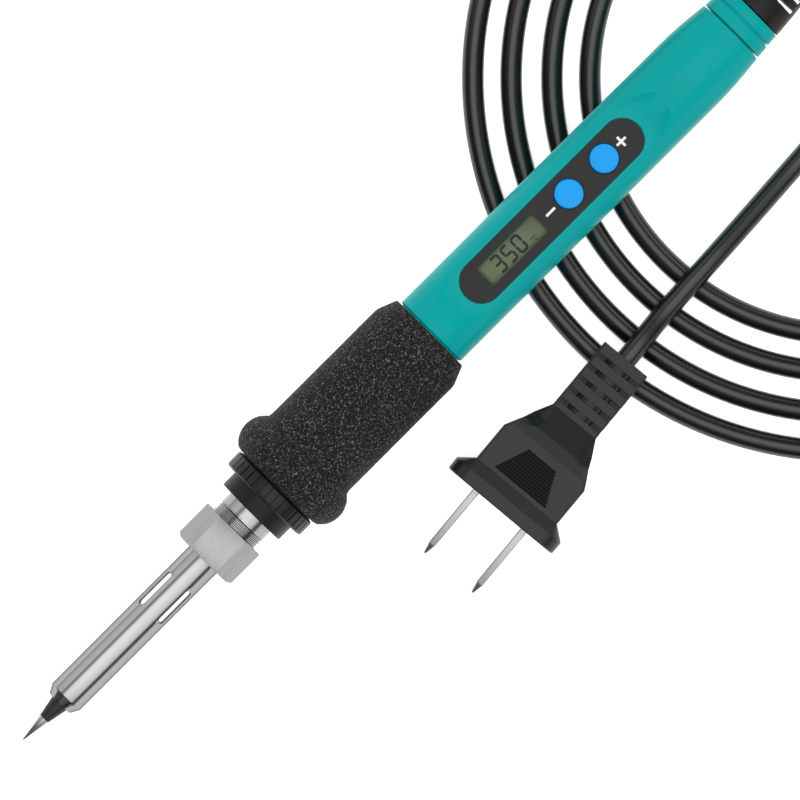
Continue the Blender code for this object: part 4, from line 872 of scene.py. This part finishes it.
far = 0.02
top_shell = whole_shell("teal_top_shell")
roof = turned("roof", [(BODY_FRONT + 0.0008, 0.0), (BODY_FRONT + 0.0008, HANDLE_R - 0.0008),
                       (DISH_REAR + 0.0015, HANDLE_R - 0.0008), (DISH_REAR + 0.0015, 0.0)])
cut(roof, box_between("under_roof", (0.1, -far, -far), (0.2, far, INNER_FLAT_Z)))
cut(top_shell, roof, "UNION")
cut(top_shell, dish_cutter())
cut(top_shell, stadium_bar("panel_seat", PANEL_FRONT - 0.0002, PANEL_REAR + 0.0002, PANEL_WIDTH + 0.0004,
                           0.001, (0.0, 0.0, RECESS_Z + 0.001), 32))
hole_lap = LENS_LAP + 0.0003
cut(top_shell, box_between("window_hole", (WINDOW_FRONT - hole_lap, -WINDOW_WIDTH / 2 - hole_lap, 0.004),
                           (WINDOW_REAR + hole_lap, WINDOW_WIDTH / 2 + hole_lap, 0.0075)))


def button_hole(station, radius=HOLE_R):
    deselect()
    bpy.ops.mesh.primitive_cylinder_add(vertices=64, radius=radius, depth=0.006,
                                        location=(POINT_X + station, 0.0, AXIS_Z + 0.0057))
    return bpy.context.object


for station in BUTTON_STATIONS.values():
    cut(top_shell, button_hole(station))
cut(top_shell, box_between("lower_half", (0.05, -far, -far), (0.22, far, SEAM)))
soften(top_shell, 0.00012, 2, math.radians(38))
# The cuts leave slivers where they meet, so the shell's edges are welded and any gap is closed.
WELD_REACH, SLIVER = 0.000003, 0.000001
deselect()
top_shell.select_set(True)
bpy.context.view_layer.objects.active = top_shell
bpy.ops.object.mode_set(mode="EDIT")
bpy.ops.mesh.select_mode(type="VERT")
bpy.ops.mesh.select_all(action="SELECT")
bpy.ops.mesh.remove_doubles(threshold=WELD_REACH)
bpy.ops.mesh.select_all(action="SELECT")
bpy.ops.mesh.dissolve_degenerate(threshold=SLIVER)
bpy.ops.mesh.select_all(action="SELECT")
bpy.ops.mesh.fill_holes(sides=0)
bpy.ops.object.mode_set(mode="OBJECT")
finish(top_shell, TEAL_ABS, "handle", "teal_plastic", "handle_top_shell")
bottom_shell = whole_shell("teal_bottom_shell")
cut(bottom_shell, box_between("upper_half", (0.05, -far, -SEAM), (0.22, far, far)))
soften(bottom_shell, 0.00012, 2, math.radians(38))
finish(bottom_shell, TEAL_ABS, "handle", "teal_plastic", "handle_bottom_shell")

# ---------------------------------------------------------------------------------------------
# Panel: a charcoal polycarbonate label plate glued into the dish, with a window for the display
# and a hole for each button. The minus and plus signs are printed on it in white ink.
# ---------------------------------------------------------------------------------------------
panel = stadium_bar("charcoal_panel", PANEL_FRONT, PANEL_REAR, PANEL_WIDTH, (PANEL_TOP - PANEL_BASE) / 2,
                    (0.0, 0.0, (PANEL_TOP + PANEL_BASE) / 2), 48)
cut(panel, box_between("window", (WINDOW_FRONT, -WINDOW_WIDTH / 2, 0.006),
                       (WINDOW_REAR, WINDOW_WIDTH / 2, 0.007)))
for station in BUTTON_STATIONS.values():
    cut(panel, button_hole(station, HOLE_R - 0.0001))
soften(panel, 0.00007, 2, math.radians(40))
CHARCOAL = moulded("charcoal_polycarbonate", seen(54, 53, 53), 0.52, 0.06, 5200.0, 0.20,
                   Specular_IOR_Level=0.12)
finish(panel, CHARCOAL, "handle", "charcoal_panel", "display_panel")

INK_T, STROKE, SIGN_SIZE = 0.00005, 0.00054, 0.0025
WHITE_INK = moulded("white_ink", seen(250, 250, 250), 0.55, 0.03, 6000.0, 0.10)
SIGNS = {"minus_sign": (0.15285, ("along",)), "plus_sign": (0.17325, ("along", "across"))}
for name, (station, strokes) in SIGNS.items():
    bars = []
    for stroke in strokes:
        reach = SIGN_SIZE / 2 if stroke == "along" else STROKE / 2
        side = STROKE / 2 if stroke == "along" else SIGN_SIZE / 2
        bars.append(box_between(name, (station - reach, -side, PANEL_TOP - INK_T),
                                (station + reach, side, PANEL_TOP + INK_T)))
    sign = bars[0]
    if len(bars) > 1:
        cut(sign, bars[1], "UNION")
    soften(sign, 0.00001, 1, math.radians(40))
    finish(sign, WHITE_INK, "handle", "white_plastic")

# ---------------------------------------------------------------------------------------------
# Display: a clear acrylic lens in the window, over a liquid-crystal glass. Its dark segments
# show the set temperature, on a grey-green backing.
# ---------------------------------------------------------------------------------------------
LENS_BASE, LENS_LEDGE, LENS_TOP = 0.00515, 0.00595, 0.00662
lens = box_between("acrylic_lens", (WINDOW_FRONT - LENS_LAP, -WINDOW_WIDTH / 2 - LENS_LAP, LENS_BASE),
                   (WINDOW_REAR + LENS_LAP, WINDOW_WIDTH / 2 + LENS_LAP, LENS_LEDGE))
step = box_between("step", (WINDOW_FRONT + 0.00005, -WINDOW_WIDTH / 2 + 0.00005, LENS_LEDGE - 0.0002),
                   (WINDOW_REAR - 0.00005, WINDOW_WIDTH / 2 - 0.00005, LENS_TOP))
cut(lens, step, "UNION")
soften(lens, 0.00008, 2, math.radians(40))


def clear_acrylic():
    material = new_material("clear_acrylic", seen(236, 240, 236), 0.08, 0.0, Alpha=0.02,
                            Specular_IOR_Level=0.10)
    tree = material.node_tree
    place = add_node(tree, "TexCoord")
    smears = add_node(tree, "TexNoise", Scale=300.0, Detail=3.0)
    wire(tree, place, "Object", smears, "Vector")
    gloss = add_node(tree, "MapRange", To_Min=0.05, To_Max=0.14)
    wire(tree, smears, "Fac", gloss, "Value")
    wire(tree, gloss, "Result", tree.nodes["Principled BSDF"], "Roughness")
    return material


finish(lens, clear_acrylic(), "handle", "clear_lens", "display_lens")

GLASS_LENGTH, GLASS_WIDTH, GLASS_BASE, GLASS_EDGE, GLASS_TOP = 0.0185, 0.0084, 0.0026, 0.0044, 0.00505
FRONT_LAP = 0.0005
glass_middle = (WINDOW_FRONT + WINDOW_REAR) / 2
glass = box_between("crystal_glass", (glass_middle - GLASS_LENGTH / 2, -GLASS_WIDTH / 2, GLASS_BASE),
                    (glass_middle + GLASS_LENGTH / 2, GLASS_WIDTH / 2, GLASS_EDGE))
half_sheet = WINDOW_WIDTH / 2 + FRONT_LAP
front_sheet = box_between("front_sheet", (WINDOW_FRONT - FRONT_LAP, -half_sheet, GLASS_EDGE - 0.0004),
                          (WINDOW_REAR + FRONT_LAP, half_sheet, GLASS_TOP))
cut(glass, front_sheet, "UNION")
soften(glass, 0.0001, 2, math.radians(40))
CRYSTAL = moulded("crystal_backing", seen(98, 114, 80), 0.22, 0.05, 1800.0, 0.05, Specular_IOR_Level=0.12)
finish(glass, CRYSTAL, "handle", "display", "display_glass")

DIGIT_WIDTH, DIGIT_HEIGHT, DIGIT_PITCH, BAR_WIDTH, BAR_GAP = 0.00228, 0.0041, 0.00292, 0.00054, 0.00008
SEGMENTS = {
    "top": (0.0, 1.0, "along"), "middle": (0.0, 0.0, "along"), "bottom": (0.0, -1.0, "along"),
    "upper_left": (-1.0, 0.5, "across"), "upper_right": (1.0, 0.5, "across"),
    "lower_left": (-1.0, -0.5, "across"), "lower_right": (1.0, -0.5, "across"),
}
LIT = {
    "3": ("top", "middle", "bottom", "upper_right", "lower_right"),
    "5": ("top", "middle", "bottom", "upper_left", "lower_right"),
    "0": ("top", "bottom", "upper_left", "upper_right", "lower_left", "lower_right"),
    "C": ("top", "bottom", "upper_left", "lower_left"),
}


def crystal_bar(middle, length, width, along):
    """A flat bar with pointed ends, as the electrodes of a liquid crystal are cut."""
    deselect()
    bpy.ops.mesh.primitive_cylinder_add(vertices=6, radius=width / math.sqrt(3), depth=0.00004,
                                        location=(0.0, 0.0, 0.0), rotation=(0.0, 0.0, math.pi / 2))
    bar = bpy.context.object
    bpy.ops.object.transform_apply(location=True, rotation=True, scale=True)
    for vertex in bar.data.vertices:
        vertex.co.x += math.copysign(length / 2 - width / math.sqrt(3), vertex.co.x)
    bar.rotation_euler.z = 0.0 if along else math.pi / 2
    bar.location = (POINT_X + middle[0], middle[1], AXIS_Z + GLASS_TOP + 0.00001)
    bpy.ops.object.transform_apply(location=True, rotation=True, scale=True)
    return bar


def figure(sign, middle, width, height, stroke, gap):
    reach, rise = (width - stroke) / 2, (height - stroke) / 2
    bars = []
    for segment in LIT[sign]:
        side, level, way = SEGMENTS[segment]
        length = (2 * reach if way == "along" else rise) - gap
        place = (middle[0] + side * reach, middle[1] + level * rise)
        bars.append(crystal_bar(place, length, stroke, way == "along"))
    return bars


FIRST_DIGIT, UNIT_AT, DEGREE_AT = 0.13790, (0.14710, -0.00145), (0.14625, -0.00105)
UNIT_WIDTH, UNIT_HEIGHT, UNIT_BAR, UNIT_GAP = 0.00085, 0.00120, 0.00020, 0.00003
DEGREE_R, DEGREE_WIRE_R = 0.00020, 0.00006
bars = []
for count, sign in enumerate("350"):
    place = (FIRST_DIGIT + count * DIGIT_PITCH, 0.0)
    bars += figure(sign, place, DIGIT_WIDTH, DIGIT_HEIGHT, BAR_WIDTH, BAR_GAP)
bars += figure("C", UNIT_AT, UNIT_WIDTH, UNIT_HEIGHT, UNIT_BAR, UNIT_GAP)
deselect()
bpy.ops.mesh.primitive_torus_add(location=(POINT_X + DEGREE_AT[0], DEGREE_AT[1], AXIS_Z + GLASS_TOP),
                                 major_radius=DEGREE_R, minor_radius=DEGREE_WIRE_R,
                                 major_segments=20, minor_segments=6)
degree_ring = bpy.context.object
bpy.ops.object.transform_apply(location=True, rotation=True, scale=True)
digits = joined(bars + [degree_ring], "lit_segments")
DARK_CRYSTAL = moulded("dark_crystal", seen(5, 6, 5), 0.30, 0.05, 3000.0, 0.05, Specular_IOR_Level=0.05)
finish(digits, DARK_CRYSTAL, "handle", "display")

# ---------------------------------------------------------------------------------------------
# Buttons: two blue caps moulded with a rim that keeps them under the panel. Each rides on the
# plunger of its switch.
# ---------------------------------------------------------------------------------------------
BLUE = moulded("blue_keycap", seen(34, 168, 252), 0.40, 0.05, 2600.0, 0.15, Specular_IOR_Level=0.10)
RIM_BASE, RIM_TOP, CAP_TOP, CAP_RIM_R = 0.0036, 0.0044, 0.00715, 0.0037
for sign, station in BUTTON_STATIONS.items():
    deselect()
    bpy.ops.mesh.primitive_cylinder_add(vertices=96, radius=CAP_RIM_R, depth=RIM_TOP - RIM_BASE,
                                        location=(POINT_X + station, 0.0, AXIS_Z + (RIM_TOP + RIM_BASE) / 2))
    cap = bpy.context.object
    cap.name = cap.data.name = f"{sign}_keycap"
    bpy.ops.object.transform_apply(location=True, rotation=True, scale=True)
    for face in cap.data.polygons:
        face.select = face.normal.z > 0.9
    for edge in cap.data.edges:
        edge.select = False
    for vertex in cap.data.vertices:
        vertex.select = vertex.co.z > AXIS_Z + RIM_TOP - 0.0001
    bpy.ops.object.mode_set(mode="EDIT")
    bpy.ops.mesh.select_mode(type="FACE")
    bpy.ops.mesh.inset(thickness=CAP_RIM_R - BUTTON_R)
    rise = CAP_TOP - RIM_TOP - 0.00026
    bpy.ops.mesh.extrude_region_move(TRANSFORM_OT_translate={"value": (0.0, 0.0, rise)})
    for inset, lift in ((0.00005, 0.00008), (0.00010, 0.00007), (0.00045, 0.00006), (0.0009, 0.00004),
                        (0.0009, 0.00001)):
        bpy.ops.mesh.inset(thickness=inset)
        bpy.ops.transform.translate(value=(0.0, 0.0, lift))
    bpy.ops.object.mode_set(mode="OBJECT")
    finish(cap, BLUE, sign, "blue_plastic", f"{sign}_button")

# ---------------------------------------------------------------------------------------------
# Tail ring: a teal ferrule pushed over the shells' spigot, with one fine groove round it. Its
# inner lip holds the boot's rim.
# ---------------------------------------------------------------------------------------------
TAIL_FRONT, TAIL_REAR, TAIL_REAR_R, TAIL_BORE_R = 0.2055, 0.2111, 0.0072, 0.0063
GROOVE_MIDDLE, GROOVE_WIDTH, GROOVE_R, LIP_T, LIP_R = 0.2084, 0.0005, 0.00690, 0.0012, 0.0048
tail_ring = turned("teal_tail_ring", [
    (TAIL_FRONT, TAIL_BORE_R), (TAIL_FRONT, TAIL_R - 0.0001),
    (GROOVE_MIDDLE - GROOVE_WIDTH / 2, TAIL_R - 0.0003),
    (GROOVE_MIDDLE - GROOVE_WIDTH / 2, GROOVE_R), (GROOVE_MIDDLE + GROOVE_WIDTH / 2, GROOVE_R),
    (GROOVE_MIDDLE + GROOVE_WIDTH / 2, TAIL_R - 0.0004), (TAIL_REAR, TAIL_REAR_R), (TAIL_REAR, LIP_R),
    (TAIL_REAR - LIP_T, LIP_R), (TAIL_REAR - LIP_T, TAIL_BORE_R), (TAIL_FRONT, TAIL_BORE_R),
])
soften(tail_ring, 0.00006, 2)
finish(tail_ring, TEAL_ABS, "handle", "teal_plastic", "tail_ring")

# ---------------------------------------------------------------------------------------------
# Cord boot: a hollow sleeve of soft black PVC, whose straight slots show the cord inside.
# A bar at each side of every slot lets it bend up and down.
# ---------------------------------------------------------------------------------------------
BOOT_RIM_FRONT, BOOT_RIM_REAR, BOOT_NECK_R, BOOT_FRONT = 0.2086, 0.2096, 0.0045, 0.2114
BOOT_TAPER, BOOT_END, BOOT_BASE_R, BOOT_END_R, CORD_HOLE_R = 0.2162, 0.2440, 0.0068, 0.0036, 0.00255
BOOT_SLOTS, BOOT_PITCH, BOOT_SLOT, BOOT_BAR = 8, 0.00254, 0.0010, 0.0007
boot = turned("slotted_boot", [
    (BOOT_RIM_FRONT, CORD_HOLE_R), (BOOT_RIM_FRONT, SPIGOT_R), (BOOT_RIM_REAR, SPIGOT_R),
    (BOOT_RIM_REAR, BOOT_NECK_R), (BOOT_FRONT, BOOT_NECK_R), (BOOT_FRONT, TAIL_REAR_R),
    (BOOT_TAPER, BOOT_BASE_R), (BOOT_END, BOOT_END_R), (BOOT_END, CORD_HOLE_R), (BOOT_RIM_FRONT, CORD_HOLE_R),
], 96)
slots = []
for i in range(BOOT_SLOTS):
    front = BOOT_TAPER + i * BOOT_PITCH
    share = (front + BOOT_SLOT - BOOT_TAPER) / (BOOT_END - BOOT_TAPER)
    reach = BOOT_BASE_R + (BOOT_END_R - BOOT_BASE_R) * share - BOOT_BAR
    slots.append(box_between("slot", (front, -reach, -far), (front + BOOT_SLOT, reach, far)))
cut(boot, joined(slots, "boot_slots"))
soften(boot, 0.00018, 3, math.radians(40))
BOOT_PVC = moulded("boot_pvc", seen(26, 26, 27), 0.42, 0.15, 2200.0, 0.25, Specular_IOR_Level=0.18)
finish(boot, BOOT_PVC, "handle", "boot_rubber", "cord_boot")

# ---------------------------------------------------------------------------------------------
# Plug: PVC moulded round two brass blades. A flange guards the fingers, a faceted body with fine
# grip lines runs back from it, and its slotted strain relief lets the cord flex.
# ---------------------------------------------------------------------------------------------
CORNER_STEPS = 12
PLUG_MATRIX = Matrix.Translation(PLUG_FRONT) @ Matrix.Rotation(PLUG_TURN, 4, "Z")


def corner_loop(half_width, half_height, corner_y, corner_z, curved):
    """A rectangle's outline whose corners are round, or cut off straight."""
    loop = []
    for side, level, start in ((1, 1, 0), (-1, 1, 1), (-1, -1, 2), (1, -1, 3)):
        for step in range(CORNER_STEPS + 1):
            share = step / CORNER_STEPS
            if curved:
                angle = math.radians(90 * (start + share))
                out_y, out_z = abs(math.cos(angle)), abs(math.sin(angle))
            else:
                out_y, out_z = (1 - share, share) if start % 2 == 0 else (share, 1 - share)
            loop.append((side * (half_width - corner_y + corner_y * out_y),
                         level * (half_height - corner_z + corner_z * out_z)))
    return loop


def lofted(name, sections, matrix):
    """A solid drawn through sections, each (distance back, half width, half height, corner across,
    corner up, curved), and set in its place by the matrix."""
    deselect()
    bpy.ops.mesh.primitive_circle_add(vertices=4 * (CORNER_STEPS + 1), radius=0.001, fill_type="NGON")
    piece = bpy.context.object
    piece.name = piece.data.name = name
    for count, (back, *shape) in enumerate(sections):
        if count:
            bpy.ops.object.mode_set(mode="EDIT")
            bpy.ops.mesh.select_mode(type="FACE")
            bpy.ops.mesh.extrude_region_move(TRANSFORM_OT_translate={"value": (0.0, 0.0, 0.0)})
            bpy.ops.object.mode_set(mode="OBJECT")
        drawn = [vertex for vertex in piece.data.vertices if vertex.select]
        for vertex, (across, up) in zip(drawn, corner_loop(*shape)):
            vertex.co = (back, across, up)
    piece.data.transform(matrix)
    deselect()
    piece.select_set(True)
    bpy.ops.object.mode_set(mode="EDIT")
    bpy.ops.mesh.select_all(action="SELECT")
    bpy.ops.mesh.normals_make_consistent(inside=False)
    bpy.ops.object.mode_set(mode="OBJECT")
    return piece


def plug_box(name, low, high):
    """A block in the plug's own directions."""
    deselect()
    bpy.ops.mesh.primitive_cube_add(size=1.0)
    block = bpy.context.object
    block.name = name
    middle = Vector([(a + b) / 2 for a, b in zip(low, high)])
    size = Matrix.Diagonal([b - a for a, b in zip(low, high)] + [1.0])
    block.data.transform(PLUG_MATRIX @ Matrix.Translation(middle) @ size)
    return block


RELIEF_FRONT, RELIEF_R_Y, RELIEF_R_Z = 0.0239, 0.00565, 0.0040
plug = lofted("plug_moulding", [
    (0.0, 0.0135, 0.0087, 0.0042, 0.0042, True), (0.0003, 0.0138, 0.0090, 0.0045, 0.0045, True),
    (0.0028, 0.0138, 0.0090, 0.0045, 0.0045, True), (0.0031, 0.0136, 0.0088, 0.0043, 0.0043, True),
    (0.0054, 0.01065, 0.0072, 0.0004, 0.0004, True), (0.0142, 0.01065, 0.0072, 0.0004, 0.0004, True),
    (0.0155, 0.00998, 0.0072, 0.0004, 0.0004, False), (0.0182, 0.0085, 0.0057, 0.0033, 0.0020, False),
    (0.0203, 0.0076, 0.0050, 0.0030, 0.0018, False),
    (RELIEF_FRONT, RELIEF_R_Y, RELIEF_R_Z, 0.0005, 0.0005, True),
], PLUG_MATRIX)
RELIEF_ROWS, ROW_PITCH, ROW_WIDTH, WEB = 5, 0.0030, 0.0011, 0.0006
PLUG_CREASE = math.radians(9)
CORE_HALF, EDGE = 0.0031, 0.0005
CORE_CORNER, FIRST_ROW = 0.0028, 0.0012
relief_root, relief_end, rail_side = RELIEF_FRONT - EDGE, PLUG_LENGTH - EDGE, RELIEF_R_Y - EDGE
core_section = (CORE_HALF, CORE_HALF, CORE_CORNER, CORE_CORNER, True)
rib_section = (RELIEF_R_Y, RELIEF_R_Z, EDGE, EDGE, True)
ribs = [plug_box("web", (relief_root, -rail_side, -WEB), (relief_end, rail_side, WEB)),
        lofted("core", [(relief_root, *core_section), (relief_end, *core_section)], PLUG_MATRIX)]
for side in (-1, 1):
    low, high = sorted((side * rail_side, side * RELIEF_R_Y))
    ribs.append(plug_box("rail", (relief_root, low, -WEB), (relief_end, high, WEB)))
row_fronts = [RELIEF_FRONT + FIRST_ROW + i * ROW_PITCH for i in range(RELIEF_ROWS)]
rib_starts = [relief_root] + [front + ROW_WIDTH for front in row_fronts]
for start, end in zip(rib_starts, row_fronts + [PLUG_LENGTH]):
    ribs.append(lofted("rib", [(start, *rib_section), (end, *rib_section)], PLUG_MATRIX))
GRIP_LINES, GRIP_PITCH, GRIP_FIRST, GRIP_WIDE, GRIP_NARROW = 11, 0.00066, 0.0066, 0.0066, 0.0037
GRIP_DEPTH, GRIP_FACE = 0.00022, 0.0072
lines = []
for i in range(GRIP_LINES):
    front = GRIP_FIRST + i * GRIP_PITCH
    reach = GRIP_WIDE + (GRIP_NARROW - GRIP_WIDE) * i / (GRIP_LINES - 1)
    for level in (-1, 1):
        line = plug_box("line", (-GRIP_DEPTH, -reach, -GRIP_DEPTH), (GRIP_DEPTH, reach, GRIP_DEPTH))
        place = Matrix.Translation((front, 0.0, level * GRIP_FACE)) @ Matrix.Rotation(math.pi / 4, 4, "Y")
        line.data.transform(PLUG_MATRIX @ place @ PLUG_MATRIX.inverted())
        lines.append(line)
cut(plug, joined(lines, "grip_lines"))
BLADE_SIDE, POCKET_HALF_T, POCKET_HALF_WIDTH, POCKET_DEPTH = 0.00635, 0.00085, 0.0033, 0.0060
for side in (-1, 1):
    low, high = side * BLADE_SIDE - POCKET_HALF_T, side * BLADE_SIDE + POCKET_HALF_T
    cut(plug, plug_box("blade_pocket", (-0.001, low, -POCKET_HALF_WIDTH),
                       (POCKET_DEPTH, high, POCKET_HALF_WIDTH)))

PLUG_PVC = moulded("plug_pvc", seen(28, 28, 29), 0.34, 0.12, 2600.0, 0.18, Specular_IOR_Level=0.28)
plug = joined([plug] + ribs, "plug_moulding")
finish(plug, PLUG_PVC, "handle", "plug_plastic", "plug_body")
bpy.ops.object.shade_smooth_by_angle(angle=PLUG_CREASE)

BLADE_METAL = drawn("blade_nickel", seen(150, 150, 150), 0.30, (300.0, 300.0, 2500.0), 0.15, 0.10)
for side, hand in ((1, "left"), (-1, "right")):
    blade_matrix = PLUG_MATRIX @ Matrix.Translation((0.0, side * BLADE_SIDE, 0.0))
    blade = lofted(f"blade_{hand}", [
        (-0.0165, 0.00025, 0.0014, 0.0001, 0.0004, True), (-0.0148, 0.00060, 0.0028, 0.0002, 0.0005, True),
        (-0.0140, 0.00075, 0.003175, 0.0002, 0.0003, True), (0.0055, 0.00075, 0.003175, 0.0002, 0.0003, True),
    ], blade_matrix)
    finish(blade, BLADE_METAL, "handle", "nickel", f"plug_blade_{hand}")

# ---------------------------------------------------------------------------------------------
# Inside the iron: the ceramic heater on its seat, the circuit board with its parts, the leads
# and the clamped end of the cord. They keep their plain shapes and get their own finishes.
# ---------------------------------------------------------------------------------------------
def glazed_ceramic():
    material = moulded("glazed_ceramic", seen(226, 220, 208), 0.35, 0.10, 900.0, 0.20)
    tree = material.node_tree
    shader = tree.nodes["Principled BSDF"]
    place = add_node(tree, "TexCoord")
    along = add_node(tree, "SeparateXYZ")
    wire(tree, place, "Object", along, 0)
    heat = add_node(tree, "MapRange", From_Min=POINT_X + 0.0148, From_Max=POINT_X + 0.040, To_Min=0.55,
                    To_Max=1.0)
    wire(tree, along, "X", heat, "Value")
    skin = shader.inputs["Base Color"].links[0].from_node
    browned = add_node(tree, "VectorMath", operation="SCALE")
    wire(tree, skin, "Colour", browned, 0)
    wire(tree, heat, "Result", browned, "Scale")
    wire(tree, browned, 0, shader, "Base Color")
    return material


def printed_board():
    """Green solder mask over copper tracks, which show as a slightly paler grid of lines."""
    material = moulded("solder_mask", seen(16, 96, 52), 0.30, 0.10, 900.0, 0.10)
    tree = material.node_tree
    shader = tree.nodes["Principled BSDF"]
    skin = shader.inputs["Base Color"].links[0].from_node
    place = add_node(tree, "TexCoord")
    tracks = add_node(tree, "TexBrick", Scale=180.0, Mortar_Size=0.06, Mortar_Smooth=0.2)
    wire(tree, place, "Object", tracks, "Vector")
    colour = add_node(tree, "Mix", data_type="RGBA")
    colour.inputs[7].default_value = seen(60, 140, 84)
    wire(tree, tracks, "Fac", colour, 0)
    wire(tree, skin, "Colour", colour, 6)
    tree.links.new(colour.outputs[2], shader.inputs["Base Color"])
    return material


def banded(name, ground, bands, start, pitch):
    """A resistor's lacquer with coloured rings painted round it."""
    material = moulded(name, ground, 0.35, 0.06, 2600.0, 0.10)
    tree = material.node_tree
    shader = tree.nodes["Principled BSDF"]
    place = add_node(tree, "TexCoord")
    along = add_node(tree, "SeparateXYZ")
    wire(tree, place, "Object", along, 0)
    end = POINT_X + start + pitch * 2 * len(bands)
    span = add_node(tree, "MapRange", From_Min=POINT_X + start, From_Max=end)
    wire(tree, along, "X", span, "Value")
    rings = add_node(tree, "ValToRGB")
    rings.color_ramp.interpolation = "CONSTANT"
    rings.color_ramp.elements[0].color = ground
    for count, band in enumerate(bands):
        share = (2 * count + 1) / (2 * len(bands) + 1)
        rings.color_ramp.elements.new(share).color = band
        if count < len(bands) - 1:
            rings.color_ramp.elements.new(share + 0.5 / len(bands)).color = ground
    rings.color_ramp.elements[-1].color = ground
    wire(tree, span, "Result", rings, "Fac")
    wire(tree, rings, "Color", shader, "Base Color")
    return material


CERAMIC = glazed_ceramic()
WHITE_NYLON = moulded("white_nylon", seen(214, 214, 208), 0.45, 0.05, 2600.0, 0.15)
EPOXY = moulded("black_epoxy", seen(36, 36, 38), 0.55, 0.10, 4200.0, 0.30)
CAN_SLEEVE = moulded("capacitor_sleeve", seen(32, 64, 120), 0.30, 0.06, 1500.0, 0.10)
AMBER_DIP = moulded("amber_dip", seen(196, 132, 40), 0.25, 0.12, 900.0, 0.25)
RED_SILICONE = moulded("red_silicone", seen(176, 34, 30), 0.50, 0.08, 3200.0, 0.15)
BLUE_SILICONE = moulded("blue_silicone", seen(30, 92, 170), 0.50, 0.08, 3200.0, 0.15)
BANDS = [seen(120, 66, 30), seen(30, 30, 30), seen(190, 40, 34), seen(190, 150, 60)]
INNER_FINISHES = {
    "heating_element": CERAMIC, "heater_seat": CERAMIC, "main_board": printed_board(),
    "microcontroller": EPOXY, "triac": EPOXY, "contact_strip": EPOXY, "minus_switch": EPOXY,
    "plus_switch": EPOXY, "display_frame": WHITE_NYLON, "minus_plunger": WHITE_NYLON,
    "plus_plunger": WHITE_NYLON, "sensor_lead_2": WHITE_NYLON, "smoothing_capacitor": CAN_SLEEVE,
    "film_capacitor": AMBER_DIP, "heater_lead_1": RED_SILICONE, "heater_lead_2": RED_SILICONE,
    "live_core": RED_SILICONE, "sensor_lead_1": BLUE_SILICONE, "neutral_core": BLUE_SILICONE,
    "dropper_resistor": banded("blue_resistor", seen(96, 140, 170), BANDS, 0.1514, 0.0006),
    "fuse_resistor": banded("grey_resistor", seen(150, 150, 146), BANDS[:3], 0.1514, 0.0008),
    "cord_clamp": drawn("clamp_steel", seen(178, 178, 178), 0.30, (400.0, 1800.0, 1800.0), 0.15, 0.10),
}
for name, material in INNER_FINISHES.items():
    nodes[name].data.materials.clear()
    nodes[name].data.materials.append(material)

# ---------------------------------------------------------------------------------------------
# The bounds of every drawn piece, now that all the pieces are there.
# ---------------------------------------------------------------------------------------------
low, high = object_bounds()
